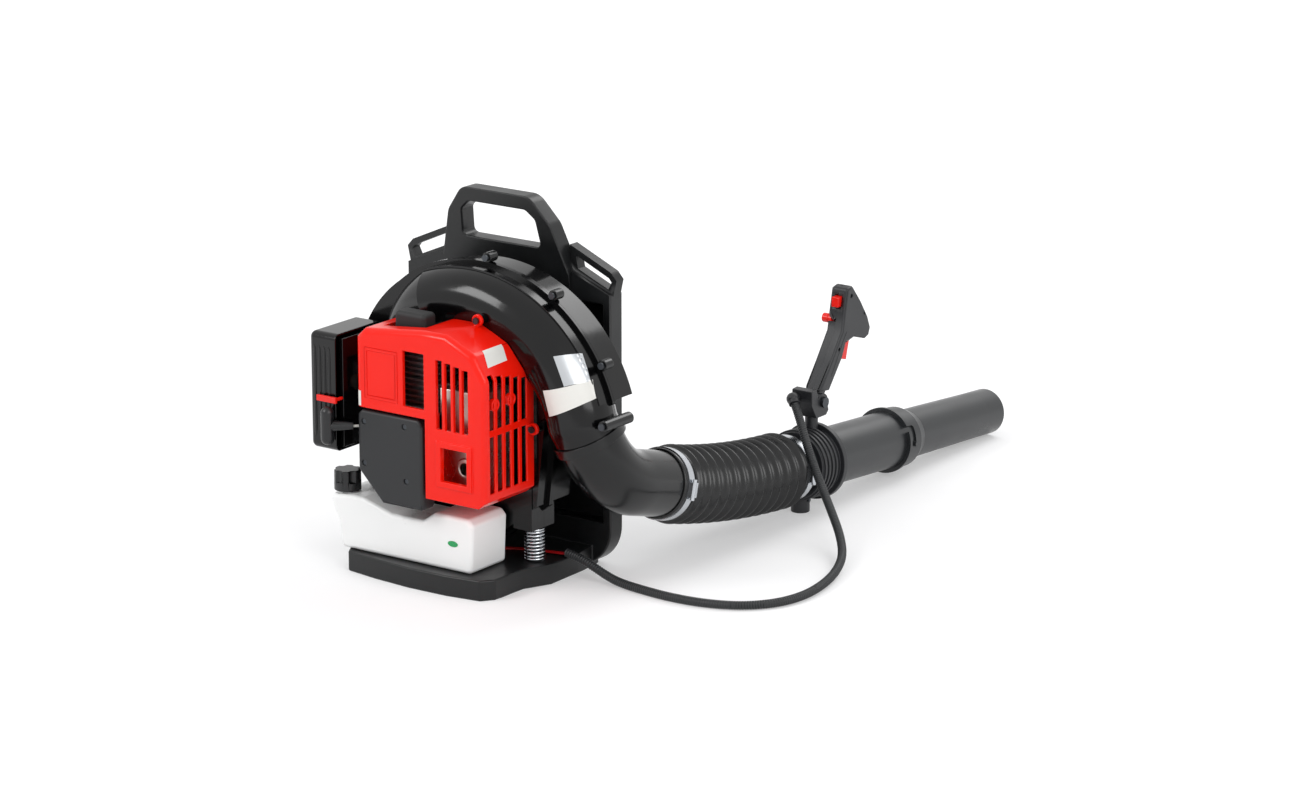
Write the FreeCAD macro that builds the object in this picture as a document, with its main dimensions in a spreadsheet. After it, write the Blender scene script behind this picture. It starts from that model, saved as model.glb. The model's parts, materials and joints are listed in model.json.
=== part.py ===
"""Backpack leaf blower: engine, fan housing, tank, back frame, air tube and control handle.

Row frame, millimetres: +X to the wearer's right, where the air tube leaves; +Y towards the
wearer's back; +Z up. The origin is on the floor, below the middle of the base.
Every driving dimension is a cell of the sheet "Sizes", and the pieces are bound to those cells.
"""
import FreeCAD
import Part
import math
import os
import Sketcher
from FreeCAD import Placement, Rotation, Vector

# name, value in mm or degrees, meaning
TABLE = [
    ("frame_height", 495, "floor to the top of the carrying handle"),
    ("plate_width", 336, "back plate, side to side"),
    ("plate_height", 372, "floor to the plate's shoulders"),
    ("plate_rear", 120, "Y of the plate's rear face"),
    ("plate_depth", 27, "plate, front to rear"),
    ("plate_corner", 55, "radius of the plate's lower corners"),
    ("rim_width", 13, "solid rim round the plate's recess"),
    ("web_thickness", 4.5, "plate wall left behind the recess"),
    ("base_width", 250, "base, side to side at its front"),
    ("base_front", 117, "base front edge, ahead of the origin"),
    ("base_height", 28, "base tray, floor to its top"),
    ("base_wall", 4, "wall of the hollow base tray"),
    ("spring_reach", 113, "mounting spring, from the middle to each side"),
    ("spring_outer", 28.5, "mounting spring outside diameter"),
    ("spring_wire", 3, "mounting spring wire"),
    ("spring_length", 47, "mounting spring between base and leg"),
    ("seat_gap", 0.3, "clearance between pieces that only face each other"),
    ("fit_gap", 0.05, "radial running clearance of shafts in bores"),
    ("crank_x", -20, "crank axis, sideways"),
    ("crank_z", 180, "crank axis height"),
    ("shaft_radius", 8, "crankshaft journals"),
    ("fan_radius", 112, "impeller outside radius"),
    ("fan_width", 46, "impeller, back plate to shroud edge"),
    ("scroll_x", 28, "centre of the scroll's outer arc, sideways"),
    ("scroll_z", 195, "centre of the scroll's outer arc, height"),
    ("scroll_radius", 220, "scroll's outer arc"),
    ("left_radius", 175, "scroll's arc on its left side"),
    ("front_depth", 25, "fan housing ahead of the joint plane"),
    ("rear_depth", 46, "fan housing behind the joint plane"),
    ("shell_wall", 3, "moulded shells' wall"),
    ("lip_width", 5, "joint flange round the scroll"),
    ("duct_radius", 46, "air duct outside radius"),
    ("duct_y", -10, "air duct centre line, Y"),
    ("outlet_angle", 12, "where the duct leaves the scroll's arc"),
    ("outlet_length", 30, "straight outlet below the arc"),
    ("elbow_radius", 44, "elbow tube outside radius"),
    ("elbow_bend", 92, "elbow centre line radius"),
    ("tube_x", 222, "air tube's vertical plane"),
    ("bellows_start", 142, "Y where the bellows starts"),
    ("bellows_end", 409, "Y where the bellows ends"),
    ("bellows_high", 116, "bellows' upper end, height of its axis"),
    ("bellows_low", 71, "bellows' lower end, height of its axis"),
    ("bellows_radius", 44, "bellows' root, outside radius"),
    ("bellows_fold", 53, "bellows' crest radius"),
    ("pipe_radius", 40.5, "blower tube outside radius"),
    ("pipe_wall", 2, "blower tube and nozzle wall"),
    ("pipe_end", 700, "Y of the blower tube's far end"),
    ("nozzle_tip", 944, "Y of the nozzle's tip"),
    ("nozzle_radius", 33, "nozzle tip outside radius"),
    ("handle_x", 223, "middle plane of the control handle"),
    ("handle_width", 27, "control handle, side to side"),
    ("pivot_y", 490, "control handle's pivot bolt, Y"),
    ("pivot_z", 152, "control handle's pivot bolt, height"),
    ("conduit_radius", 6, "control cable conduit outside radius"),
    ("cylinder_bore", 44, "engine bore"),
    ("engine_stroke", 34, "piston stroke"),
    ("tank_length", 216, "fuel tank, side to side"),
    ("tank_depth", 76, "fuel tank, front to rear"),
    ("tank_height", 74, "fuel tank, above the base"),
    ("cap_radius", 18, "fuel cap"),
    ("screw_radius", 2.5, "housing and cover screws' shank"),
]

document = FreeCAD.newDocument("leaf_blower")


class Size:
    """A number together with the sheet expression that gives it."""

    def __init__(self, number, text):
        self.number = float(number)
        self.text = text

    def __add__(self, other):
        return Size(self.number + number_of(other), f"({self.text} + {text_of(other)})")

    def __radd__(self, other):
        return Size(number_of(other) + self.number, f"({text_of(other)} + {self.text})")

    def __sub__(self, other):
        return Size(self.number - number_of(other), f"({self.text} - {text_of(other)})")

    def __rsub__(self, other):
        return Size(number_of(other) - self.number, f"({text_of(other)} - {self.text})")

    def __mul__(self, other):
        return Size(self.number * number_of(other), f"({self.text} * {text_of(other)})")

    def __rmul__(self, other):
        return self * other

    def __truediv__(self, other):
        return Size(self.number / number_of(other), f"({self.text} / {text_of(other)})")

    def __neg__(self):
        return Size(-self.number, f"(0 - {self.text})")


def number_of(value):
    """The plain number of a size or a number."""
    return value.number if isinstance(value, Size) else float(value)


def text_of(value):
    """The expression text of a size or a number."""
    return value.text if isinstance(value, Size) else repr(float(value))


class Sizes:
    """The sheet's cells as sizes, one attribute each."""

    def __init__(self):
        cells = document.addObject("Spreadsheet::Sheet", "Sizes")
        for row, (name, value, meaning) in enumerate(TABLE, 1):
            cells.set(f"A{row}", name)
            cells.set(f"B{row}", str(value))
            cells.set(f"C{row}", meaning)
            cells.setAlias(f"B{row}", name)
        document.recompute()
        for name, value, _ in TABLE:
            setattr(self, name, Size(cells.get(name), f"Sizes.{name}"))


S = Sizes()
NODES = {}

AXES = {
    "+X": Rotation(Vector(0, 1, 0), 90),
    "-X": Rotation(Vector(0, 1, 0), -90),
    "+Y": Rotation(Vector(1, 0, 0), -90),
    "-Y": Rotation(Vector(1, 0, 0), 90),
    "+Z": Rotation(),
    "-Z": Rotation(Vector(1, 0, 0), 180),
}


# ---------------------------------------------------------------- document helpers

def bind(item, name, value):
    """Set one property, by expression when the value comes from the sheet."""
    if isinstance(value, Size):
        item.setExpression(name, value.text)
    else:
        setattr(item, name, value)


def put(item, at, axis="+Z"):
    """Place an item: its own +Z along the axis, its origin at the point."""
    turn = AXES[axis] if isinstance(axis, str) else Rotation(Vector(0, 0, 1), axis)
    item.Placement = Placement(Vector(*(number_of(value) for value in at)), turn)
    for letter, value in zip("xyz", at):
        if isinstance(value, Size):
            item.setExpression(f"Placement.Base.{letter}", value.text)
    return item


def primitive(kind, at, axis="+Z", **properties):
    """One Part primitive with bound properties."""
    item = document.addObject(f"Part::{kind}", kind)
    for name, value in properties.items():
        bind(item, name, value)
    return put(item, at, axis)


def box(low, high):
    """A box between two corners whose coordinates are sizes."""
    item = document.addObject("Part::Box", "Box")
    for name, near, far in zip(("Length", "Width", "Height"), low, high):
        bind(item, name, far - near)
    return put(item, low)


def rod(at, axis, radius, length):
    """A solid cylinder from a point along an axis."""
    return primitive("Cylinder", at, axis, Radius=radius, Height=length)


def cone(at, axis, radius, far_radius, length):
    """A cone frustum from a point along an axis."""
    return primitive("Cone", at, axis, Radius1=radius, Radius2=far_radius, Height=length)


def ball(at, radius):
    """A sphere."""
    return primitive("Sphere", at, Radius=radius)


def fuse(*pieces):
    """The union of pieces."""
    item = document.addObject("Part::MultiFuse", "Fuse")
    item.Shapes = list(pieces)
    return item


def cut(base, *tools):
    """A piece with tools taken away."""
    item = document.addObject("Part::Cut", "Cut")
    item.Base = base
    item.Tool = tools[0] if len(tools) == 1 else fuse(*tools)
    return item


def group(*pieces):
    """Separate solids kept in one node."""
    item = document.addObject("Part::Compound", "Group")
    item.Links = list(pieces)
    return item


def tube(at, axis, outer, inner, length):
    """A hollow cylinder."""
    return cut(rod(at, axis, outer, length), rod(at, axis, inner, length))


def shaped(shape):
    """A free-form shape as a document object."""
    item = document.addObject("Part::Feature", "Shape")
    item.Shape = shape
    return item


def node(name, item):
    """Give a finished sub-part its name."""
    item.Label = name
    NODES[name] = item
    return item


def origin_plane(body, role):
    """One of a body's own origin planes."""
    return next(item for item in body.Origin.OriginFeatures if item.Role == role)


PLANES = {"XY": "XY_Plane", "XZ": "XZ_Plane", "YZ": "YZ_Plane"}


def new_body():
    """An empty PartDesign body."""
    return document.addObject("PartDesign::Body", "Body")


def outline(body, plane, corners, level=0):
    """A closed polygon sketch on a body's plane; its corners are sizes.

    The level is the plane's place along its own axis: Z, Y or X.
    """
    sketch = body.newObject("Sketcher::SketchObject", "Sketch")
    sketch.AttachmentSupport = (origin_plane(body, PLANES[plane]), [""])
    sketch.MapMode = "FlatFace"
    offset = -level if plane == "XZ" else level
    sketch.AttachmentOffset = Placement(Vector(0, 0, number_of(offset)), Rotation())
    if isinstance(offset, Size):
        sketch.setExpression("AttachmentOffset.Base.z", offset.text)
    points = [Vector(number_of(u), number_of(v), 0) for u, v in corners]
    count = len(points)
    for start, end in zip(points, points[1:] + points[:1]):
        sketch.addGeometry(Part.LineSegment(start, end), False)
    for index in range(count):
        following = (index + 1) % count
        sketch.addConstraint(Sketcher.Constraint("Coincident", index, 2, following, 1))
    for index, corner in enumerate(corners):
        for kind, value in zip(("DistanceX", "DistanceY"), corner):
            name = sketch.addConstraint(Sketcher.Constraint(kind, -1, 1, index, 1, number_of(value)))
            if isinstance(value, Size):
                sketch.setExpression(f"Constraints[{name}]", value.text)
    return sketch


def pad(body, plane, corners, level, length):
    """Add a prism that starts at the level and runs along the plane's + axis."""
    feature = body.newObject("PartDesign::Pad", "Pad")
    feature.Profile = outline(body, plane, corners, level)
    bind(feature, "Length", length)
    feature.Reversed = plane == "XZ"
    return feature


def pocket(body, plane, corners, level, length):
    """Cut a prism that starts at the level and runs along the plane's + axis."""
    feature = body.newObject("PartDesign::Pocket", "Pocket")
    feature.Profile = outline(body, plane, corners, level)
    bind(feature, "Length", length)
    feature.Reversed = plane != "XZ"
    return feature


def lathe(profile):
    """A body turned about its own Z; the profile's corners are (radius, height)."""
    body = new_body()
    feature = body.newObject("PartDesign::Revolution", "Revolution")
    sketch = outline(body, "XZ", profile)
    feature.Profile = sketch
    feature.ReferenceAxis = (sketch, ["V_Axis"])
    feature.Angle = 360
    return body


def soften(body, radius, wanted):
    """Round the edges whose middle point passes the test."""
    document.recompute()
    base = body.Tip
    names = []
    for index, edge in enumerate(base.Shape.Edges, 1):
        middle = edge.valueAt((edge.FirstParameter + edge.LastParameter) / 2)
        if wanted(middle, edge):
            names.append(f"Edge{index}")
    feature = body.newObject("PartDesign::Fillet", "Fillet")
    feature.Base = (base, names)
    bind(feature, "Radius", radius)
    return feature


def runs_along(edge, direction):
    """Whether a straight edge runs along a direction."""
    if edge.Curve.TypeId != "Part::GeomLine":
        return False
    return abs(edge.tangentAt(edge.FirstParameter).dot(direction)) > 0.999


def near(middle, **place):
    """Whether a point's named coordinates are near the given sizes."""
    return all(abs(getattr(middle, letter) - number_of(value)) < 0.5 for letter, value in place.items())


ALONG_X = Vector(1, 0, 0)
ALONG_Y = Vector(0, 1, 0)
ALONG_Z = Vector(0, 0, 1)


def screw(at, axis, shank, length, head=None, thickness=3):
    """A pan-head screw: head outside the point, shank along the axis."""
    back = {"X": (1, 0, 0), "Y": (0, 1, 0), "Z": (0, 0, 1)}[axis[1]]
    sign = -1 if axis[0] == "+" else 1
    top = tuple(value + sign * thickness * step for value, step in zip(at, back))
    head = head or shank * 1.9
    return fuse(rod(at, axis, shank, length), rod(top, axis, head, thickness))


# ---------------------------------------------------------------- back frame

def build_frame():
    """One moulding: hollow base tray, recessed back plate, leaning handle and strap loops."""
    half = S.plate_width / 2
    front = S.plate_rear - S.plate_depth
    shoulder = S.plate_height + 25
    body = new_body()
    plate = [(-half, 0), (half, 0), (half, S.plate_height), (103, shoulder), (-103, shoulder),
             (-half, S.plate_height)]
    pad(body, "XZ", plate, front, S.plate_depth)
    soften(body, S.plate_corner, lambda middle, edge: runs_along(edge, ALONG_Y) and abs(middle.z) < 0.5)
    # The handle is cut from a deep block to the band that leans away from the wearer.
    lean = 28
    handle = [(-103, S.plate_height), (103, S.plate_height), (103, shoulder), (84, S.frame_height - 36),
              (56, S.frame_height), (-56, S.frame_height), (-84, S.frame_height - 36), (-103, shoulder)]
    pad(body, "XZ", handle, front - lean - 5, S.plate_depth + lean + 5)
    rear_wedge = [(S.plate_rear, S.plate_height), (S.plate_rear + 20, S.plate_height),
                  (S.plate_rear + 20, S.frame_height + 5), (S.plate_rear - lean, S.frame_height + 5)]
    pocket(body, "YZ", rear_wedge, -120, 240)
    front_wedge = [(front, S.plate_height - 1), (front - lean, S.frame_height + 5),
                   (front - lean - 20, S.frame_height + 5), (front - lean - 20, S.plate_height - 1)]
    pocket(body, "YZ", front_wedge, -120, 240)
    opening = [(-64, shoulder + 28), (64, shoulder + 28), (60, S.frame_height - 32),
               (46, S.frame_height - 20), (-46, S.frame_height - 20), (-60, S.frame_height - 32)]
    pocket(body, "XZ", opening, front - 60, 130)
    for corner_x, corner_z, corner_radius in ((56, S.frame_height, 22), (84, S.frame_height - 36, 26),
                                              (64, shoulder + 28, 7), (60, S.frame_height - 32, 8),
                                              (46, S.frame_height - 20, 10)):
        soften(body, corner_radius, lambda middle, edge: runs_along(edge, ALONG_Y)
               and abs(abs(middle.x) - corner_x) < 0.6 and abs(middle.z - number_of(corner_z)) < 0.6)
    # Strap loops: a thin bar over each shoulder.
    for side in (-1, 1):
        loop = [(side * 98, shoulder + 34), (side * 100, shoulder - 2), (side * half, S.plate_height - 2),
                (side * (half + 5), S.plate_height + 20), (side * (half - 4), S.plate_height + 30)]
        pad(body, "XZ", loop, S.plate_rear - 20, 16)
        gap = [(side * 107, shoulder + 21), (side * 111, shoulder + 3), (side * (half - 8), S.plate_height + 7),
               (side * (half - 3), S.plate_height + 17), (side * (half - 7), S.plate_height + 22)]
        pocket(body, "XZ", gap, S.plate_rear - 22, 20)
    # The recess in the plate's front face leaves upright ribs.
    depth = S.plate_depth - S.web_thickness
    rim = S.rim_width
    cells = 3
    rib = 5
    wide = (S.plate_width - rim * 2 - rib * (cells - 1)) / cells
    for index in range(cells):
        left = rim - half + (wide + rib) * index
        window = [(left, 62), (left + wide, 62), (left + wide, S.plate_height - rim),
                  (left, S.plate_height - rim)]
        pocket(body, "XZ", window, front, depth)
    # The base tray reaches forward from the plate and bulges round the springs.
    reach = S.base_width / 2
    tray = [(-reach - 10, S.plate_rear - 10), (-reach - 17, 55), (-reach - 18, -4), (-reach - 2, -42),
            (-reach, -88), (-reach + 14, 5 - S.base_front), (-60, -3 - S.base_front),
            (0, -8 - S.base_front), (60, -7 - S.base_front), (reach - 14, -S.base_front), (reach - 1, -100),
            (reach + 1, -42), (reach + 18, -4), (reach + 17, 55), (reach + 10, S.plate_rear - 10)]
    pad(body, "XY", tray, 0, S.base_height)
    hollow = S.base_wall
    stiffener = 6
    lowest = 4 + hollow - S.base_front
    for side in (-1, 1):
        hollow_side = [(side * stiffener, front - 6), (side * (reach - hollow), front - 6),
                       (side * (reach - hollow), -86), (side * (reach - hollow - 8), lowest + 4),
                       (side * 60, lowest), (side * stiffener, lowest)]
        pocket(body, "XY", hollow_side, 0, S.base_height - hollow)
    # The springs stand on the tray; a spigot centres each of them.
    spigot = S.spring_outer / 2 - S.spring_wire - S.seat_gap
    frame = body
    studs = [rod((side * S.spring_reach, 0, S.base_height - 1), "+Z", spigot, 11) for side in (-1, 1)]
    # Damper studs stand on the web behind the fan housing.
    posts = [rod((side * 72, S.plate_rear - S.web_thickness - 8, 318), "+Y", 9, 9) for side in (-1, 1)]
    return node("backpack_frame", fuse(frame, *studs, *posts))


def build_pad():
    """Back pad: a plain cushion on the plate's rear face, with its rivets."""
    thick = 14
    body = new_body()
    side = S.plate_width / 2 - 26
    shape = [(-side, 90), (side, 90), (side, S.plate_height - 40), (80, S.plate_height - 10),
             (-80, S.plate_height - 10), (-side, S.plate_height - 40)]
    pad(body, "XZ", shape, S.plate_rear, thick)
    soften(body, 18, lambda middle, edge: runs_along(edge, ALONG_Y))
    rivet_length = S.web_thickness + thick
    places = [(x, z) for x in (-105, 105) for z in (120, 300)]
    holes = [rod((x, S.plate_rear - 1, z), "+Y", 3 + S.fit_gap, thick + 2) for x, z in places]
    node("back_pad", cut(body, *holes))
    rivets = [fuse(rod((x, S.plate_rear, z), "+Y", 3, thick),
                   rod((x, S.plate_rear + thick, z), "+Y", 8, 1.5)) for x, z in places]
    node("pad_rivets", group(*rivets))


def build_mounts():
    """Springs under the fan housing and rubber dampers behind it."""
    outer = S.spring_outer / 2
    low = S.base_height
    places = [side * S.spring_reach for side in (-1, 1)]
    springs = [tube((x, 0, low), "+Z", outer, outer - S.spring_wire, S.spring_length) for x in places]
    node("mount_springs", group(*springs))
    start = S.rear_depth + 15
    end = S.plate_rear - S.web_thickness - 8
    dampers = [rod((side * 72, start, 318), "+Y", 12, end - start) for side in (-1, 1)]
    node("rubber_dampers", group(*dampers))


# ---------------------------------------------------------------- fan housing

def polar(centre, radius, degrees):
    """A point on a circle in the X-Z plane."""
    angle = math.radians(degrees)
    return Vector(centre[0] + radius * math.cos(angle), 0, centre[1] + radius * math.sin(angle))


def scroll_outline(inset):
    """The scroll's closed outline in the X-Z plane, moved inward by the inset.

    Two tangent arcs shrink from the outlet, over the top and down the left side. A third one
    turns under the impeller.
    """
    first = (S.scroll_x.number, S.scroll_z.number)
    outer = S.scroll_radius.number
    second_radius = S.left_radius.number
    second = (first[0] + (outer - second_radius) * math.cos(math.radians(110)),
              first[1] + (outer - second_radius) * math.sin(math.radians(110)))
    low_radius = S.fan_radius.number + 9
    third = (second[0] - second_radius + low_radius, S.crank_z.number)
    edges = []
    for centre, radius, low, high in ((first, outer, S.outlet_angle.number + 6, 110),
                                      (second, second_radius, 110, 180), (third, low_radius, 180, 270)):
        ends = [polar(centre, radius, angle) for angle in (low, (low + high) / 2, high)]
        edges.append(Part.Arc(*ends).toShape())
    side = [edges[1].Vertexes[-1].Point, edges[2].Vertexes[0].Point]
    bottom = edges[2].Vertexes[-1].Point
    lip = polar(first, outer - 2 * S.duct_radius.number, S.outlet_angle.number + 6)
    corners = [Vector(S.spring_reach.number - 43, 0, bottom.z), Vector(S.spring_reach.number + 22, 0, 110)]
    route = [bottom] + corners + [lip, edges[0].Vertexes[0].Point]
    edges.append(Part.LineSegment(*side).toShape())
    edges += [Part.LineSegment(a, b).toShape() for a, b in zip(route, route[1:])]
    wire = Part.Wire(Part.sortEdges(edges)[0])
    return wire.makeOffset2D(-inset) if inset else wire


def scroll_slab(inset, low, high):
    """The scroll outline as a slab between two Y values."""
    face = Part.Face(scroll_outline(inset))
    face.translate(Vector(0, low, 0))
    return face.extrude(Vector(0, high - low, 0))


# Where the engine cover's lugs stand off the front shell.
COVER_BOSSES = ((141, -35.7, 219), (72, -61.7, 359))
OUTLET_TURN = Vector(0.28, 0.28, -0.918).normalize()


def duct_points():
    """Arc end of the duct and the middle of its outlet, on the centre line."""
    radius = S.scroll_radius.number - S.duct_radius.number
    arc_end = polar((S.scroll_x.number, S.scroll_z.number), radius, S.outlet_angle.number)
    arc_end.y = S.duct_y.number
    return arc_end, arc_end + OUTLET_TURN * S.outlet_length.number


def duct(radius):
    """The round air duct: a taper down the left side, the arc over the top and the outlet."""
    centre = Vector(S.scroll_x.number, S.duct_y.number, S.scroll_z.number)
    sweep = S.scroll_radius.number - S.duct_radius.number
    start = S.outlet_angle.number
    ring = Part.makeCircle(radius, centre + Vector(sweep, 0, 0), Vector(0, 0, 1))
    arc = Part.Face(Part.Wire(ring)).revolve(centre, Vector(0, -1, 0), 110 - start)
    arc.rotate(centre, Vector(0, -1, 0), start)
    top = polar((centre.x, centre.z), sweep, 110)
    top.y = centre.y
    second_radius = S.left_radius.number - S.duct_radius.number
    second = top - Vector(math.cos(math.radians(110)), 0, math.sin(math.radians(110))) * second_radius
    taper_end = 164
    ends = [polar((second.x, second.z), second_radius, angle) for angle in (110, 137, taper_end)]
    for point in ends:
        point.y = centre.y
    spine = Part.Wire(Part.Arc(*ends).toShape())
    shrink = 33
    sections = []
    for angle, size in ((110, radius), (taper_end, radius - shrink)):
        place = polar((second.x, second.z), second_radius, angle)
        place.y = centre.y
        tangent = Vector(-math.sin(math.radians(angle)), 0, math.cos(math.radians(angle)))
        sections.append(Part.Wire(Part.makeCircle(size, place, tangent)))
    taper = spine.makePipeShell(sections, True, False)
    cap = Part.makeSphere(radius - shrink, ends[-1])
    arc_end, outlet = duct_points()
    knee = Part.makeSphere(radius, arc_end)
    straight = Part.makeCylinder(radius, S.outlet_length.number, arc_end, OUTLET_TURN)
    return arc.fuse([taper, cap, knee, straight])


def half_space(low, high):
    """A large block between two Y values."""
    return Part.makeBox(900, high - low, 900, Vector(-450, low, -200))


def build_housing():
    """Front and rear shells of the fan housing, split at Y = 0."""
    wall = S.shell_wall.number
    gap = S.seat_gap.number / 2
    front = -S.front_depth.number
    rear = S.rear_depth.number
    lip = S.lip_width.number
    duct_outer = duct(S.duct_radius.number)
    duct_inner = duct(S.duct_radius.number - wall)
    arc_end, outlet = duct_points()
    beyond = Part.makeCylinder(S.duct_radius.number - wall, 60, outlet - OUTLET_TURN, OUTLET_TURN)
    chamber = scroll_slab(wall, front + wall, rear - wall)
    hollow = chamber.fuse([duct_inner, beyond])
    crank = Vector(S.crank_x.number, 0, S.crank_z.number)

    front_solid = scroll_slab(0, front, -gap).fuse([scroll_slab(-lip, -4, -gap), duct_outer.common(
        half_space(-200, -gap))])
    legs = [Part.makeBox(30, 26, 60, Vector(side * S.spring_reach.number - 15, -26 - gap,
            S.base_height.number + S.spring_length.number)) for side in (-1, 1)]
    bosses = [Part.makeCylinder(6, 12, Vector(x, y, z), Vector(0, 1, 0)) for x, y, z in COVER_BOSSES]
    bearing_hole = Part.makeCylinder(26, 60, crank + Vector(0, front - 20, 0), Vector(0, 1, 0))
    springs = [Part.makeCylinder(S.spring_outer.number / 2 + 0.5, S.spring_length.number,
               Vector(side * S.spring_reach.number, 0, S.base_height.number)) for side in (-1, 1)]
    front_shell = front_solid.fuse(legs + bosses).cut([hollow, bearing_hole] + springs)

    rear_solid = scroll_slab(0, gap, rear).fuse([scroll_slab(-lip, gap, 4), duct_outer.common(
        half_space(gap, 200))])
    leg_backs = [Part.makeBox(30, 22, 60, Vector(side * S.spring_reach.number - 15, gap,
                 S.base_height.number + S.spring_length.number)) for side in (-1, 1)]
    posts = [Part.makeCylinder(12, 15, Vector(side * 72, rear, 318), Vector(0, 1, 0)) for side in (-1, 1)]
    intake = Part.makeCylinder(88, 30, crank + Vector(0, rear - 20, 0), Vector(0, 1, 0))
    rear_shell = rear_solid.fuse(leg_backs + posts).cut([hollow, intake] + springs)
    for name, shell in (("housing_front_shell", front_shell), ("housing_rear_shell", rear_shell)):
        node(name, shaped(max(shell.removeSplitter().Solids, key=lambda solid: solid.Volume)))

    # Lugs and screws that clamp the joint flange.
    screws = []
    radius = S.scroll_radius.number + lip + 7.3
    for angle in (30, 58, 86):
        place = polar((S.scroll_x.number, S.scroll_z.number), radius, angle)
        screws.append(screw((place.x, -9, place.z), "+Y", S.screw_radius, 20, 4.5, 4))
        screws.append(tube((place.x, -8.7, place.z), "+Y", 7, S.screw_radius + S.fit_gap, 16))
    boss_x = arc_end.x + S.duct_radius.number + 7.8 - 0.6
    screws.append(tube((boss_x, -38, 240), "+Y", 7.5, S.screw_radius + S.fit_gap, 58))
    screws.append(screw((boss_x, -38.3, 240), "+Y", S.screw_radius, 62, 4.5, 4))
    node("housing_clamps", group(*screws[1:-1:2], screws[-2]))
    node("housing_screws", group(*screws[0:-2:2], screws[-1]))


def build_intake_guard():
    """Cage over the air intake: rings joined by upright bars."""
    x, z = S.crank_x, S.crank_z
    start = S.rear_depth + S.seat_gap
    depth = 32
    rim = tube((x, start, z), "+Y", 100, 92, 4)
    front = tube((x, start + depth - 4, z), "+Y", 100, 94, 4)
    cap = tube((x, start + depth - 4, z), "+Y", 30, 6, 4)
    bars = []
    for index in range(24):
        angle = 2 * math.pi * index / 24
        bar = rod((x + 96 * math.cos(angle), start, z + 96 * math.sin(angle)), "+Y", 2, depth)
        spoke = Part.makeBox(72, 3, 2.5, Vector(26, 0, -1.25))
        spoke.rotate(Vector(), Vector(0, -1, 0), math.degrees(angle))
        spoke.translate(Vector(x.number, start.number + depth - 3, z.number))
        bars += [bar, shaped(spoke)]
    node("intake_guard", fuse(rim, front, cap, *bars))


def build_impeller():
    """Centrifugal fan: hub, back plate and curved blades."""
    x, z = S.crank_x, S.crank_z
    front = 4 - S.front_depth
    hub = rod((x, front + 2, z), "+Y", 20, S.fan_width - 4)
    disc = rod((x, front + 2, z), "+Y", S.fan_radius, 3)
    blades = []
    count = 22
    for index in range(count):
        outer = S.fan_radius.number - 1
        points = [Vector(30, 0, 0), Vector(75, 0, 14), Vector(outer, 0, 6)]
        spine = Part.Arc(*points).toShape()
        blade = spine.extrude(Vector(0, S.fan_width.number - 6, 0))
        blade = blade.makeOffsetShape(2, 0.01, fill=True)
        blade.rotate(Vector(), Vector(0, 1, 0), 360 * index / count)
        blade.translate(Vector(x.number, front.number + 4, z.number))
        blades.append(shaped(blade.common(Part.makeCylinder(outer, 90, Vector(x.number, -45, z.number),
                                                            Vector(0, 1, 0)))))
    bore = rod((x, front - 1, z), "+Y", S.shaft_radius, S.fan_width + 4)
    node("impeller", cut(fuse(hub, disc, *blades), bore))


# ---------------------------------------------------------------- engine

# Starter cover screws, (X, Z).
STARTER_SCREWS = ((-67, 216), (0, 219), (-67, 160), (2, 146))


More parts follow.
